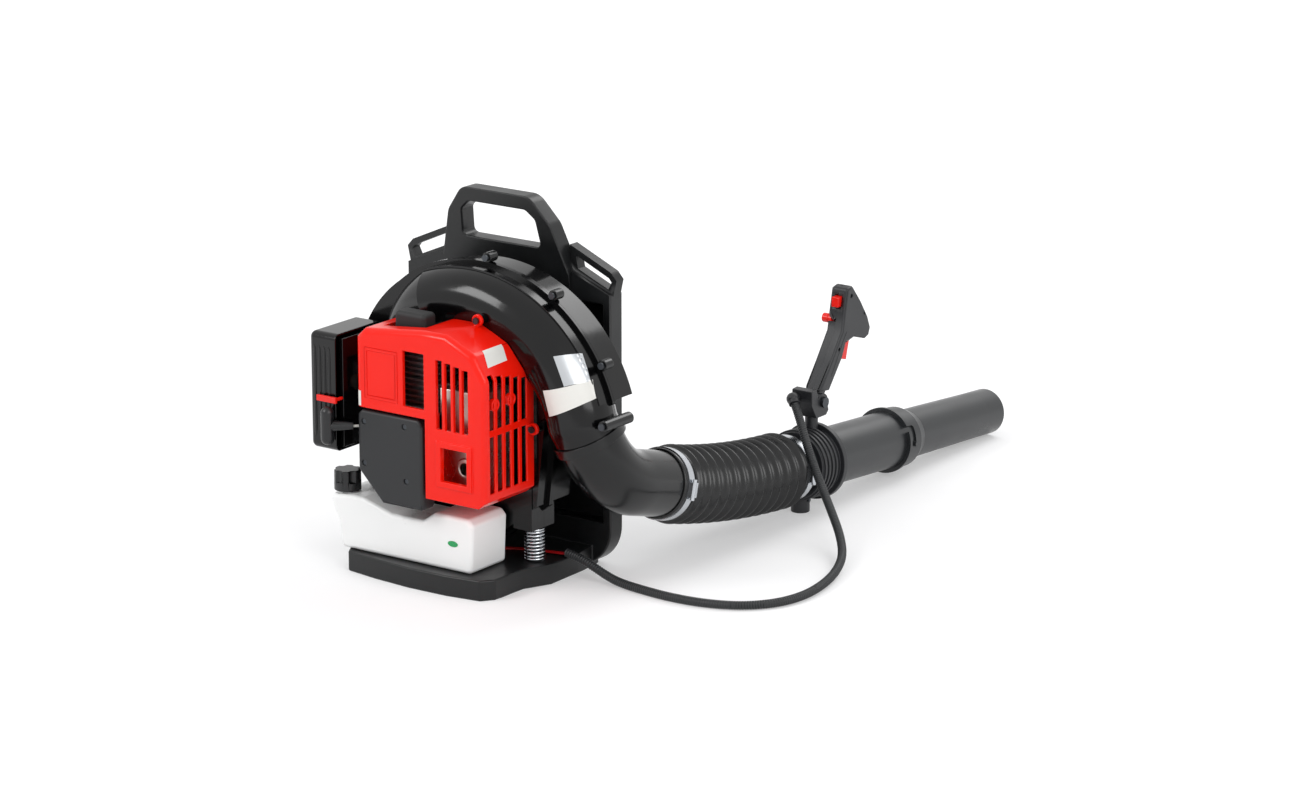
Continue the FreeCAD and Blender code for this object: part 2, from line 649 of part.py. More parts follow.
def build_engine():
    """Crankcase, crankshaft, flywheel, cylinder, piston and what bolts to them."""
    x, z = S.crank_x, S.crank_z
    plate = -S.front_depth - S.seat_gap
    case_front = -86
    starter_places = STARTER_SCREWS
    posts = [rod((px, -104.2, pz), "+Y", 5, 18) for px, pz in starter_places]
    case = fuse(rod((x, case_front, z), "+Y", 34, plate - case_front),
                box((x - 53, -88.5, z - 40), (x + 28, -84.4, z + 45)), *posts,
                box((x - 40, -76, z - 10), (x + 40, -32, z + 34)),
                box((x - 44, plate - 8, z - 44), (x + 44, plate, z + 33)),
                rod((x, plate - 1, z), "+Y", 25, 5))
    inside = fuse(rod((x, -74, z), "+Y", 30, 40),
                  rod((x, -90, z), "+Y", S.shaft_radius + S.fit_gap, 100),
                  rod((x, -54, z), "+Z", S.cylinder_bore / 2, 40))
    node("crankcase", cut(case, inside))

    throw = S.engine_stroke / 2
    journal = fuse(rod((x, -112, z), "+Y", S.shaft_radius, 46), rod((x, -42, z), "+Y", S.shaft_radius, 68),
                   rod((x, -68, z), "+Y", 28, 8), rod((x, -48, z), "+Y", 28, 8),
                   rod((x, -66, z - throw), "+Y", 6, 24))
    node("crankshaft", journal)

    wheel = fuse(rod((x, -102, z), "+Y", 34, 6), rod((x, -102, z), "+Y", 14, 13))
    vanes = []
    for index in range(12):
        vane = Part.makeBox(13, 6, 2.5, Vector(20, 0, -1.25))
        vane.rotate(Vector(), Vector(0, 1, 0), 30 * index)
        vane.translate(Vector(x.number, -96, z.number))
        vanes.append(shaped(vane))
    node("flywheel", cut(fuse(wheel, *vanes), rod((x, -103, z), "+Y", S.shaft_radius, 15)))

    coil = fuse(box((x - 66, -101, z - 14), (x - 53.3, -84, z + 20)), rod((x - 60, -96, z + 20), "+Z", 3, 14))
    node("ignition_coil", coil)

    top = z + 34 + S.seat_gap
    barrel = rod((x, -54, top), "+Z", S.cylinder_bore / 2 + 6, 104)
    fins = []
    for index in range(12):
        low = top + 14 + index * 7.5
        fins.append(box((x - 38, -94, low), (x + 38, -28, low + 2)))
    flange = box((x - 32, -84, top), (x + 32, -32, top + 6))
    ports = [box((x - 44, -66, top + 30), (x - 26, -42, top + 54)),
             box((x + 26, -70, top + 24), (x + 46, -40, top + 52))]
    bore = rod((x, -54, top - 1), "+Z", S.cylinder_bore / 2, 92)
    tilt = Vector(0, -0.6, 0.8)
    tip = Vector(x.number, -54, top.number + 93.5)
    plug_hole = shaped(Part.makeCylinder(5, 60, tip - tilt * 4, tilt).fuse(
        Part.makeCylinder(10.2, 50, tip + tilt * 18.7, tilt)))
    intake_port = rod((x - 50, -54, top + 42), "+X", 7, 34)
    exhaust_port = rod((x + 14, -54, top + 38), "+X", 9, 40)
    duct_room = shaped(duct(S.duct_radius.number + 0.6))
    node("engine_cylinder", cut(fuse(barrel, flange, *fins, *ports), bore, plug_hole, intake_port,
                                exhaust_port, duct_room))

    crown = z + 56
    skirt = rod((x, -54, crown), "+Z", S.cylinder_bore / 2 - S.fit_gap, 34)
    node("piston", cut(skirt, rod((x, -54, crown - 1), "+Z", S.cylinder_bore / 2 - 4, 28)))

    thread = Part.makeCylinder(4.95, 20, tip, tilt)
    hexagon = Part.makeCylinder(9.5, 7, tip + tilt * 19, tilt)
    insulator = Part.makeCylinder(5, 14, tip + tilt * 26, tilt)
    node("spark_plug", shaped(thread.fuse([hexagon, insulator])))
    boot = Part.makeCylinder(10, 22, tip + tilt * 26.3, tilt)
    block = Part.makeBox(50, 27, 26, Vector(x.number - 16, tip.y - 48, top.number + 124))
    block = block.makeFillet(6, block.Edges)
    socket = Part.makeCylinder(5.05, 16, tip + tilt * 25, tilt)
    node("plug_boot", shaped(boot.fuse(block).cut(socket)))

    # Exhaust side.
    node("exhaust_gasket", cut(box((x + 46 + S.seat_gap, -72, top + 22), (x + 47.5, -38, top + 54)),
                               rod((x + 44, -54, top + 38), "+X", 9, 6)))
    muffler = fuse(box((x + 58, -102, 138), (x + 124, -40, top + 58)),
                   box((x + 47.5 + S.seat_gap, -74, top + 20), (x + 59, -36, top + 56)))
    inner = box((x + 60, -100, 140), (x + 122, -42, top + 56))
    inlet = rod((x + 46, -54, top + 38), "+X", 9, 18)
    outlet = rod((x + 100, -112, 170), "+Y", 8, 20)
    arrestor = tube((x + 100, -106, 170), "+Y", 14, 8, 5)
    node("muffler", fuse(cut(muffler, inner, inlet, outlet), arrestor))

    # Intake side.
    insulator = cut(box((x - 56, -68, top + 28), (x - 44 - S.seat_gap, -40, top + 56)),
                    rod((x - 60, -54, top + 42), "+X", 7, 20))
    node("intake_insulator", insulator)
    carb = cut(fuse(box((x - 84, -70, top + 26), (x - 56 - S.seat_gap, -38, top + 60)),
                    rod((x - 70, -76, top + 36), "+Y", 6, 7)),
               rod((x - 90, -54, top + 42), "+X", 7, 40))
    node("carburettor", carb)


def build_filter():
    """Air filter base, element, ribbed cover and its knob, with the choke and primer."""
    x = S.crank_x
    z = S.crank_z + 34
    back = x - 84 - S.seat_gap
    plate = back - 6
    lever_z = z + 26
    pivot = rod((back - 3, -141, lever_z), "+Y", 2.2, 20)
    base = fuse(box((plate, -124, z - 40), (back, -36, z + 106)),
                box((plate - 6, -118, z - 32), (plate, -112, z + 98)),
                box((plate - 6, -46, z - 32), (plate, -40, z + 98)))
    throat = rod((plate - 10, -54, z + 42), "+X", 7, 30)
    pivot_hole = rod((back - 3, -125, lever_z), "+Y", 2.2 + S.fit_gap, 5)
    knob_z = z + 33
    stud = rod((plate - 16, -80, knob_z), "+X", 3, 18)
    node("filter_base", cut(fuse(base, stud), throat, pivot_hole))
    element = plate - S.seat_gap - 22
    node("filter_element", cut(box((element, -108, z - 26), (plate - S.seat_gap, -46, z + 92)),
                               rod((element - 1, -80, knob_z), "+X", 7.5, 30)))
    outside = plate - 44
    body = new_body()
    low, high = z - 46, z + 112
    rear = -35
    face = [(-133, low), (rear, low), (rear, high), (-133, high)]
    pad(body, "YZ", face, outside, 44)
    soften(body, 9, lambda middle, edge: runs_along(edge, ALONG_X))
    soften(body, 8, lambda middle, edge: near(middle, x=outside))
    cavity = [(-130, low + 3), (rear - 3, low + 3), (rear - 3, high - 3), (-130, high - 3)]
    pocket(body, "YZ", cavity, outside + 3, 45)
    grooves = []
    for index in range(6):
        y = -124 + index * 15
        grooves.append(box((outside - 1, y, low + 14), (outside + 1.2, y + 5, high - 16)))
    knob_hole = rod((outside - 1, -80, knob_z), "+X", 7 + S.fit_gap, 10)
    node("filter_cover", cut(body, *grooves, knob_hole))
    sleeve = rod((outside - 4, -80, knob_z), "+X", 7, 28)
    knob = fuse(sleeve, rod((outside - 12, -80, knob_z), "+X", 16, 11.5),
                box((outside - 17, -84, knob_z - 14), (outside - 11, -76, knob_z + 14)))
    node("filter_knob", cut(knob, rod((plate - 17, -80, knob_z), "+X", 3 + S.fit_gap, 30)))

    node("choke_lever", fuse(pivot, box((back - 32, -141, lever_z - 4), (back, -137, lever_z + 4))))
    bulb_y = -76 - S.seat_gap
    node("primer_bulb", fuse(rod((x - 70, bulb_y, z + 36), "-Y", 11, 4),
                             cone((x - 70, bulb_y - 4, z + 36), "-Y", 9, 5, 7)))


# The rope leaves the starter's left side, forward past the air filter.
PULL_DIRECTION = Vector(-0.83, -0.56, 0).normalize()


def build_starter():
    """Recoil starter: cover, pulley, spring and pull grip with its rope."""
    x, z = S.crank_x, S.crank_z
    body = new_body()
    face = [(-77, 150), (-38, 110), (26, 110), (30, 118), (30, 222), (22, 232), (-70, 232), (-77, 226)]
    pad(body, "XZ", face, -130, 26)
    soften(body, 5, lambda middle, edge: near(middle, y=-130))
    cavity = [(-73, 152), (-36, 114), (22, 114), (26, 120), (26, 220), (20, 228), (-68, 228), (-73, 224)]
    pocket(body, "XZ", cavity, -126, 23)
    places = STARTER_SCREWS
    holes = [rod((px, -131, pz), "+Y", 2.2, 28) for px, pz in places]
    sinks = [rod((px, -131, pz), "+Y", 3.6, 5.2) for px, pz in places]
    bosses = [rod((px, -126.5, pz), "+Y", 5, 22) for px, pz in places]
    pillar = rod((x, -126.5, z), "+Y", 6, 12)
    pull = PULL_DIRECTION
    mouth = Vector(-77, -119, 206)
    rope_hole = shaped(Part.makeCylinder(3, 24, mouth + pull * 8, -pull))
    node("starter_cover", cut(fuse(body, *bosses, pillar), *holes, *sinks, rope_hole))
    recessed = [screw((px, -125.8, pz), "+Y", 2.2 - S.fit_gap, 21.4, 3.2, 2) for px, pz in places]
    node("starter_screws", group(*recessed))

    inner = 6 + S.fit_gap
    pulley = fuse(tube((x, -122.5, z), "+Y", 30, inner, 1.5), tube((x, -121, z), "+Y", 25, inner, 4.5),
                  tube((x, -116.5, z), "+Y", 30, inner, 1.5))
    recess = tube((x, -123, z), "+Y", 22, 12, 4)
    node("starter_pulley", cut(pulley, recess))
    node("recoil_spring", tube((x, -125.9, z), "+Y", 21, 13, 3.1))

    centre = mouth + pull * 46
    bar = Part.makeCylinder(9, 34, centre - Vector(0, 0, 17), Vector(0, 0, 1))
    ends = [Part.makeSphere(9, centre + Vector(0, 0, side * 17)) for side in (-1, 1)]
    neck = Part.makeCone(8, 4.5, 34, centre, -pull)
    rope = Part.makeCylinder(1.8, 62, centre, -pull)
    node("starter_grip", shaped(bar.fuse(ends + [neck]).cut(rope)))
    node("starter_rope", shaped(rope))


def build_engine_cover():
    """Red top cover over the cylinder and muffler, with slots and two windows."""
    rear = -30
    body = new_body()
    front_face = [(-77, 236), (36, 236), (36, 130), (122, 130), (135, 140), (135, 300), (114, 332),
                  (70, 352), (30, 352), (-64, 342), (-77, 330)]
    pad(body, "XZ", front_face, -132, 132 + rear)
    soften(body, 16, lambda middle, edge: near(middle, x=135, z=300) or near(middle, x=114, z=332))
    soften(body, 9, lambda middle, edge: near(middle, y=-132) and middle.z > 236.5
           or near(middle, y=-132, x=135))
    cavity = [(-74, 239), (39, 239), (39, 133), (121, 133), (132, 142), (132, 298), (112, 328),
              (69, 348.5), (31, 348.5), (-62, 339), (-74, 328)]
    pocket(body, "XZ", cavity, -126, 99)
    # Behind the starter the two inner walls are open for the cylinder and muffler.
    open_back = [(-70, 228), (32, 228), (32, 135), (42, 135), (42, 246), (-70, 246)]
    pocket(body, "XZ", open_back, -103.5, 76)
    plug_notch = [(-48, 320), (22, 320), (22, 360), (-48, 360)]
    pocket(body, "XZ", plug_notch, -108, 80)
    window = [(1, 248), (35, 248), (35, 322), (1, 322)]
    pocket(body, "XZ", window, -133, 8)
    low_window = [(63, 158), (105, 158), (105, 203), (63, 203)]
    pocket(body, "XZ", low_window, -133, 8)
    # A thick frame stands round the low window, and a shallow panel is sunk in the front's left half.
    surround = cut(box((55, -134.5, 150), (113, -131, 211)), box((63, -136, 158), (105, -130, 203)))
    panel = cut(box((-62, -133, 250), (-8, -131.2, 318)), box((-58, -134, 254), (-12, -130, 314)))
    # Four slots in the front and five in the side, each interrupted by one level rib.
    slots = [box((55 + index * 14, -134, 226), (64.5 + index * 14, -122, 318 - index * 2.5))
             for index in range(4)]
    for index in range(5):
        middle_y = -118 + index * 17
        slots.append(box((118, middle_y - 5, 150), (138, middle_y + 5.5, 225)))
        slots.append(box((118, middle_y - 5, 234), (138, middle_y + 5.5, 306 - index * 4)))
    rings = [tube((128.5, ring_y, 266), "+X", 8.5, 5.5, 6.5) for ring_y in (-109.5, -75.5)]
    carburettor_room = box((-80, -82, 232), (-70, -25, 282))
    duct_room = shaped(duct(S.duct_radius.number + S.seat_gap.number * 2))
    lugs = []
    holes = []
    screws = []
    for x, y, z in COVER_BOSSES:
        lugs.append(rod((x, y - 5.3, z), "+Y", 8, 5))
        holes.append(rod((x, y - 8, z), "+Y", S.screw_radius, 8))
        screws.append(screw((x, y - 5.5, z), "+Y", S.screw_radius - S.fit_gap, 5.3, 4.5, 3))
    shell = fuse(cut(body, *slots, carburettor_room, duct_room, panel), surround, *rings)
    node("engine_cover", cut(fuse(shell, *lugs), *holes))
    node("cover_screws", group(*screws))


# ---------------------------------------------------------------- fuel system

def build_tank():
    """Translucent fuel tank on the base, with its filler neck, cap and hoses."""
    low = S.base_height + S.seat_gap
    front = -105
    left = -128
    right = S.tank_length + left
    rear = S.tank_depth + front
    top = low + S.tank_height
    body = new_body()
    face = [(left, low), (right, low), (right + 3, top - 8), (right - 5, top), (28, top), (8, top - 14),
            (-44, top - 14), (-92, top), (-112, top), (-150, top - 3), (-132, low + 34)]
    pad(body, "XZ", face, front, S.tank_depth)
    soften(body, 7, lambda middle, edge: runs_along(edge, ALONG_Y))
    soften(body, 6, lambda middle, edge: near(middle, y=front) or near(middle, y=rear))
    wall = 2.5
    inner = [(left + wall, low + wall), (right - wall, low + wall), (right - wall, top - 8 - wall),
             (30, top - wall), (8, top - 14 - wall), (-44, top - 14 - wall), (-92, top - wall),
             (-112, top - wall), (-140, top - 3 - wall), (-128, low + 34)]
    pocket(body, "XZ", inner, front + wall, S.tank_depth - wall * 2)
    neck_x, neck_y = -131, -86
    neck_z = top - 1
    neck = rod((neck_x, neck_y, neck_z - 6), "+Z", 14, 22)
    filler = rod((neck_x, neck_y, neck_z - 14), "+Z", 11.5, 34)
    node("fuel_tank", cut(fuse(body, neck), filler))
    cap_low = neck_z + 2
    cap = cut(rod((neck_x, neck_y, cap_low), "+Z", S.cap_radius, 28),
              rod((neck_x, neck_y, cap_low - 1), "+Z", 14 + 0.3, 15.5))
    lobes = [rod((neck_x + (S.cap_radius + 3) * math.cos(math.radians(30 + 60 * index)),
                  neck_y + (S.cap_radius + 3) * math.sin(math.radians(30 + 60 * index)),
                  cap_low + 12), "+Z", 6, 20) for index in range(6)]
    node("fuel_cap", cut(cap, *lobes))
    node("cap_seal", tube((neck_x, neck_y, neck_z + 16.1), "+Z", 13.8, 11.6, 0.3))

    pipes = []
    for x, y in ((-96, -60), (-88, -50)):
        pipes.append(tube((x, y, top + S.seat_gap), "+Z", 3, 1.5, S.crank_z + 60 - top - S.seat_gap * 2))
    node("fuel_hoses", group(*pipes))


# ---------------------------------------------------------------- air tube

def bellows_arc():
    """Centre, radius and end angles of the bellows' centre line in its vertical plane.

    The arc meets the blower tube's axis without a kink at its lower end.
    """
    end = Vector(0, S.bellows_end.number, S.bellows_low.number)
    start = Vector(0, S.bellows_start.number, S.bellows_high.number)
    slope = pipe_direction()
    normal = Vector(0, -slope.z, slope.y)
    chord = start - end
    radius = chord.dot(chord) / (2 * chord.dot(normal))
    return end + normal * radius, radius


def pipe_direction():
    """Unit vector along the blower tube, from the bellows to the nozzle's tip on the floor."""
    run = Vector(0, S.nozzle_tip.number - S.bellows_end.number, S.nozzle_radius.number - S.bellows_low.number)
    return run.normalize()


def on_bellows(share):
    """Point and unit direction on the bellows' centre line; the share runs from 0 to 1."""
    centre, radius = bellows_arc()
    start = Vector(0, S.bellows_start.number, S.bellows_high.number) - centre
    end = Vector(0, S.bellows_end.number, S.bellows_low.number) - centre
    first = math.atan2(start.z, start.y)
    last = math.atan2(end.z, end.y)
    angle = first + (last - first) * share
    place = centre + Vector(0, math.cos(angle), math.sin(angle)) * radius
    heading = Vector(0, -math.sin(angle), math.cos(angle))
    place.x = S.tube_x.number
    return place, heading if heading.y > 0 else -heading


def on_pipe(y):
    """Point on the blower tube's axis at a Y value."""
    along = pipe_direction()
    step = (y - S.bellows_end.number) / along.y
    return Vector(S.tube_x.number, S.bellows_end.number, S.bellows_low.number) + along * step


def ring(place, direction, outer, inner, length, back=0):
    """A hollow cylinder along any direction, started behind the place."""
    start = place - direction * back
    shape = Part.makeCylinder(outer, length, start, direction)
    return shape.cut(Part.makeCylinder(inner, length, start, direction))


def elbow_shape(radius, extra=0):
    """The elbow's outer solid: a straight collar, one arc and a straight end."""
    arc_end, outlet = duct_points()
    start = outlet + OUTLET_TURN * (S.seat_gap.number - extra)
    end, heading = on_bellows(0)
    # The corner is where the outlet's line passes nearest to the bellows' line.
    gap = end - outlet
    across = OUTLET_TURN.dot(heading)
    reach = (gap.dot(OUTLET_TURN) - gap.dot(heading) * across) / (1 - across * across)
    corner = outlet + OUTLET_TURN * reach
    inward = (outlet - corner).normalize()
    outward = (end - corner).normalize()
    half = math.acos(max(-1, min(1, inward.dot(outward)))) / 2
    tangent = S.elbow_bend.number / math.tan(half)
    first = corner + inward * tangent
    last = corner + outward * tangent
    centre = corner + (inward + outward).normalize() * (S.elbow_bend.number / math.sin(half))
    middle = centre + ((first + last) * 0.5 - centre).normalize() * S.elbow_bend.number
    end = end + outward * -extra
    path = Part.Wire([Part.makeLine(start, first), Part.Arc(first, middle, last).toShape(),
                      Part.makeLine(last, end)])
    section = Part.Wire(Part.makeCircle(radius, start, OUTLET_TURN))
    return path.makePipeShell([section], True, False)


def build_elbow():
    """Moulded elbow between the fan housing and the bellows, and its swivel ring."""
    arc_end, outlet = duct_points()
    wall = S.shell_wall.number
    outer = S.elbow_radius.number
    shell = elbow_shape(outer).cut(elbow_shape(outer - wall))
    # A spigot turns inside the housing's outlet; the band holds it there.
    spigot_radius = S.duct_radius.number - wall - 0.08
    spigot = ring(outlet, OUTLET_TURN, spigot_radius, spigot_radius - wall, 16, 15)
    collar = ring(outlet + OUTLET_TURN * S.seat_gap.number, OUTLET_TURN, spigot_radius, outer - wall, 1.5)
    node("elbow", shaped(shell.fuse([spigot, collar]).removeSplitter()))
    band = ring(outlet, OUTLET_TURN, S.duct_radius.number + 3, S.duct_radius.number + 0.05, 13, 14)
    node("outlet_band", shaped(band))


def bellows_core(radius):
    """A solid bent round bar along the bellows' centre line."""
    centre, bend = bellows_arc()
    centre.x = S.tube_x.number
    start, heading = on_bellows(0)
    last, last_heading = on_bellows(1)
    face = Part.Face(Part.Wire(Part.makeCircle(radius, start, heading)))
    turn = math.degrees(heading.getAngle(last_heading))
    return face.revolve(centre, ALONG_X, turn)


def build_bellows():
    """Flexible bellows: a bent tube with ring-shaped folds and plain cuffs."""
    root = S.bellows_radius.number
    start, heading = on_bellows(0)
    last, last_heading = on_bellows(1)
    elbow_room = S.elbow_radius.number + 0.25
    pipe_room = S.pipe_radius.number + 0.1
    folds = []
    count = 14
    for index in range(count):
        place, direction = on_bellows((index + 1.2) / (count + 1.4))
        folds.append(Part.makeCylinder(S.bellows_fold.number, 8, place - direction * 4, direction))
    cuffs = [Part.makeCylinder(elbow_room + 3, 28, start - heading * 22, heading),
             Part.makeCylinder(pipe_room + 4.4, 30, last - last_heading * 4, last_heading)]
    bores = [Part.makeCylinder(elbow_room, 23, start - heading * 22.5, heading),
             Part.makeCylinder(pipe_room, 34, last - last_heading * 7, last_heading)]
    solid = bellows_core(root).fuse(folds + cuffs).cut([bellows_core(root - 3.8)] + bores)
    node("bellows", shaped(max(solid.Solids, key=lambda item: item.Volume)))
    for name, place, direction, size in (
            ("hose_clamp_upper", start - heading * 10, heading, elbow_room + 3.05),
            ("hose_clamp_lower", last + last_heading * 12, last_heading, pipe_room + 4.45)):
        band = ring(place, direction, size + 1.4, size, 12, 6)
        turn = Rotation(Vector(0, 1, 0), direction)
        block = Part.makeBox(6, 12, 20, Vector(0.4, -6, -10))
        worm = Part.makeCylinder(3.2, 28, Vector(4, 0, -14), Vector(0, 0, 1))
        housing = block.fuse(worm)
        housing.Placement = Placement(place + Vector(size, 0, 0), turn)
        node(name, shaped(band.fuse(housing)))


def build_pipe():
    """Blower tube and the bayonet nozzle on its end."""
    along = pipe_direction()
    start = on_pipe(S.bellows_end.number - 6)
    end = on_pipe(S.pipe_end.number)
    outer = S.pipe_radius.number
    wall = S.pipe_wall.number
    pipe = ring(start, along, outer, outer - wall, (end - start).Length)
    pin_place = on_pipe(S.pipe_end.number - 14)
    pins = [Part.makeCylinder(4, 8, pin_place + Vector(side * (outer - 1), 0, 0), Vector(side, 0, 0))
            for side in (-1, 1)]
    node("blower_tube", shaped(pipe.fuse(pins)))

    sleeve_start = on_pipe(S.pipe_end.number - 30)
    inner = outer + 0.08
    sleeve = Part.makeCylinder(inner + 2.5, 34, sleeve_start, along)
    lip = Part.makeCylinder(inner + 6, 5, sleeve_start, along)
    taper_length = 22
    taper_start = sleeve_start + along * 34
    tip_radius = S.nozzle_radius.number
    tip = on_pipe(S.nozzle_tip.number)
    rest = (tip - taper_start).Length - taper_length
    neck = tip_radius + 2
    taper = Part.makeCone(inner + 2.5, neck, taper_length, taper_start, along)
    mouth = 40
    barrel = Part.makeCone(neck, tip_radius, rest - mouth, taper_start + along * taper_length, along)
    spout = Part.makeCylinder(tip_radius, mouth, tip - along * mouth, along)
    bore = Part.makeCylinder(inner, 33, sleeve_start, along)
    taper_bore = Part.makeCone(inner, neck - wall, taper_length + 1, sleeve_start + along * 33, along)
    barrel_bore = Part.makeCone(neck - wall, tip_radius - wall, rest - mouth,
                                taper_start + along * taper_length, along)
    spout_bore = Part.makeCylinder(tip_radius - wall, mouth, tip - along * mouth, along)
    outside = sleeve.fuse([lip, taper, barrel, spout])
    # A slot on each side lets the nozzle slide over the pins and turn to lock.
    turns = [(turn, 0) for turn in range(0, 31, 5)] + [(30, back) for back in range(4, 21, 4)]
    slots = []
    for side in (0, 180):
        for turn, back in turns:
            slot = Part.makeCylinder(4.3, 60, pin_place, Vector(1, 0, 0))
            slot.rotate(pin_place, along, side - turn)
            slot.translate(along * -back)
            slots.append(slot)
    node("nozzle", shaped(outside.cut([bore, taper_bore, barrel_bore, spout_bore] + slots)))


def build_clamp():
    """Clamp on the blower tube: ribbed sleeve, flange, foot and the handle's neck."""
    along = pipe_direction()
    first = on_pipe(446)
    bore = S.pipe_radius.number + 0.05
    sleeve = Part.makeCylinder(bore + 6, 52, first, along)
    ribs = [Part.makeCylinder(bore + 9, 4, on_pipe(450 + index * 9), along) for index in range(4)]
    flange = Part.makeCylinder(bore + 13, 9, on_pipe(490), along)
    foot = Part.makeCylinder(13, on_pipe(462).z - bore + 4, Vector(S.tube_x.number, 462, 0), Vector(0, 0, 1))
    neck = Part.makeCylinder(9, 40, Vector(S.handle_x.number, 486, on_pipe(486).z + bore + 2),
                             Vector(0, 0, 1))
    hole = Part.makeCylinder(bore, 90, on_pipe(430), along)
    screw_hole = Part.makeCylinder(2.6, 14, Vector(S.tube_x.number + 3, 462, 18), Vector(1, 0, 0))
    cheek_width = S.handle_width.number + 6
    pivot_y, pivot_z = S.pivot_y.number, S.pivot_z.number
    yoke = handle_prism([(462, 172), (474, 173), (479, 158), (500, 152), (504, 138), (498, 132), (474, 132),
                         (462, 152)], cheek_width)
    cheeks = Part.makeCylinder(12, cheek_width, Vector(S.handle_x.number - cheek_width / 2, pivot_y,
                               pivot_z), Vector(1, 0, 0))
    slot = handle_prism([(478, 140), (478, 200), (520, 200), (520, 140)], S.handle_width.number - 9.4)
    pivot = Part.makeCylinder(4 + S.fit_gap.number, 60, Vector(S.handle_x.number - 30, S.pivot_y.number,
                              S.pivot_z.number), Vector(1, 0, 0))
    whole = sleeve.fuse(ribs + [flange, foot, neck, yoke, cheeks]).cut([hole, screw_hole, slot, pivot])
    node("pipe_clamp", shaped(whole.removeSplitter()))
    node("clamp_screw", shaped(Part.makeCylinder(2.55, 12, Vector(S.tube_x.number + 3.5, 462, 18),
                                                 Vector(1, 0, 0))))


# ---------------------------------------------------------------- control handle

def handle_prism(corners, width, middle=None):
    """A prism across the handle's plane from (Y, Z) corners."""
    centre = S.handle_x.number if middle is None else middle
    points = [Vector(centre - width / 2, y, z) for y, z in corners]
    face = Part.Face(Part.makePolygon(points + points[:1]))
    return face.extrude(Vector(width, 0, 0))


def rounded(shape, radius):
    """A prism with its long side edges rounded where the radius fits."""
    side = [edge for edge in shape.Edges if not runs_along(edge, ALONG_X)]
    return shape.makeFillet(radius, side)


GRIP = [(486, 166.5), (511, 163), (543, 203), (552, 223), (573, 226), (600, 218), (609, 221),
        (613, 232), (606, 249), (588, 275), (566, 301), (553, 298), (546, 266), (541, 240), (515, 204)]
TRIGGER = [(553, 221), (571, 223), (566, 206), (563, 195), (552, 198), (549, 206)]


def build_handle():
    """Two grip shells with trigger, cruise lever, stop switch and pivot bolt."""
    width = S.handle_width.number
    middle = S.handle_x.number
    pivot_y, pivot_z = S.pivot_y.number, S.pivot_z.number
    body = rounded(handle_prism(GRIP, width), 4)
    # The grip's lower tongue turns between the yoke's cheeks.
    tongue = Part.makeCylinder(11, width - 10, Vector(middle - (width - 10) / 2, pivot_y, pivot_z),
                               Vector(1, 0, 0))
    web = handle_prism([(482, 152), (498, 150), (511, 168), (490, 170)], width - 10)
    room = handle_prism([(537, 210), (545, 190), (574, 190), (590, 228), (588, 248), (553, 248), (546, 228)],
                        12)
    knob_room = Part.makeCylinder(6, width, Vector(middle - width, 549, 254), Vector(1, 0, 0))
    switch_room = Part.makeBox(12, 20, 16, Vector(middle - 6, 540, 272))
    screws = [(563, 287), (596, 256), (534, 216)]
    shafts = [Part.makeCylinder(1.6, width * 2, Vector(middle - width, y, z), Vector(1, 0, 0))
              for y, z in screws]
    heads = [Part.makeCylinder(3, 5, Vector(middle + width / 2 - 4, y, z), Vector(1, 0, 0)) for y, z in screws]
    pivot = Part.makeCylinder(4 + S.fit_gap.number, 60, Vector(middle - 30, pivot_y, pivot_z),
                              Vector(1, 0, 0))
    pin = Part.makeCylinder(2.5, width - 6, Vector(middle - width / 2 + 3, 560, 236), Vector(1, 0, 0))
    solid = body.fuse([tongue, web]).cut([room, knob_room, switch_room, pivot, pin] + shafts + heads)
    for name, side in (("handle_left_shell", -1), ("handle_right_shell", 1)):
        block = Part.makeBox(60, 240, 240, Vector(middle + (0.05 if side > 0 else -60.05), 440, 100))
        half = solid.common(block)
        node(name, shaped(max(half.Solids, key=lambda item: item.Volume)))
    node("handle_fixings", group(shaped(pin), *[screw((middle + width / 2 - 4 + 0.1, y, z), "-X", 1.55, 14, 2.8, 2)
                                   for y, z in screws]))
    bolt = fuse(rod((middle - 19, S.pivot_y, S.pivot_z), "+X", 4, 38),
                rod((middle + 17, S.pivot_y, S.pivot_z), "+X", 7.5, 4))
    node("pivot_bolt", bolt)

    lever = handle_prism(TRIGGER, 11).fuse([
        Part.makeCylinder(6, 11, Vector(middle - 5.5, 560, 236), Vector(1, 0, 0)),
        handle_prism([(553, 221), (571, 223), (566, 238), (556, 238)], 11)])
    hole = Part.makeCylinder(2.5 + S.fit_gap.number, 30, Vector(middle - 15, 560, 236), Vector(1, 0, 0))
    node("throttle_trigger", shaped(lever.cut(hole)))
    node("cruise_lever", fuse(rod((middle - width / 2 - 9, 549, 254), "+X", 6.5, 9 - 0.3),
                              rod((middle - width / 2 - 2, 549, 254), "+X", 5.9, 8)))
    node("stop_switch", shaped(Part.makeBox(11, 16, 14, Vector(middle - 5.5, 541, 273))))


# ---------------------------------------------------------------- control conduit

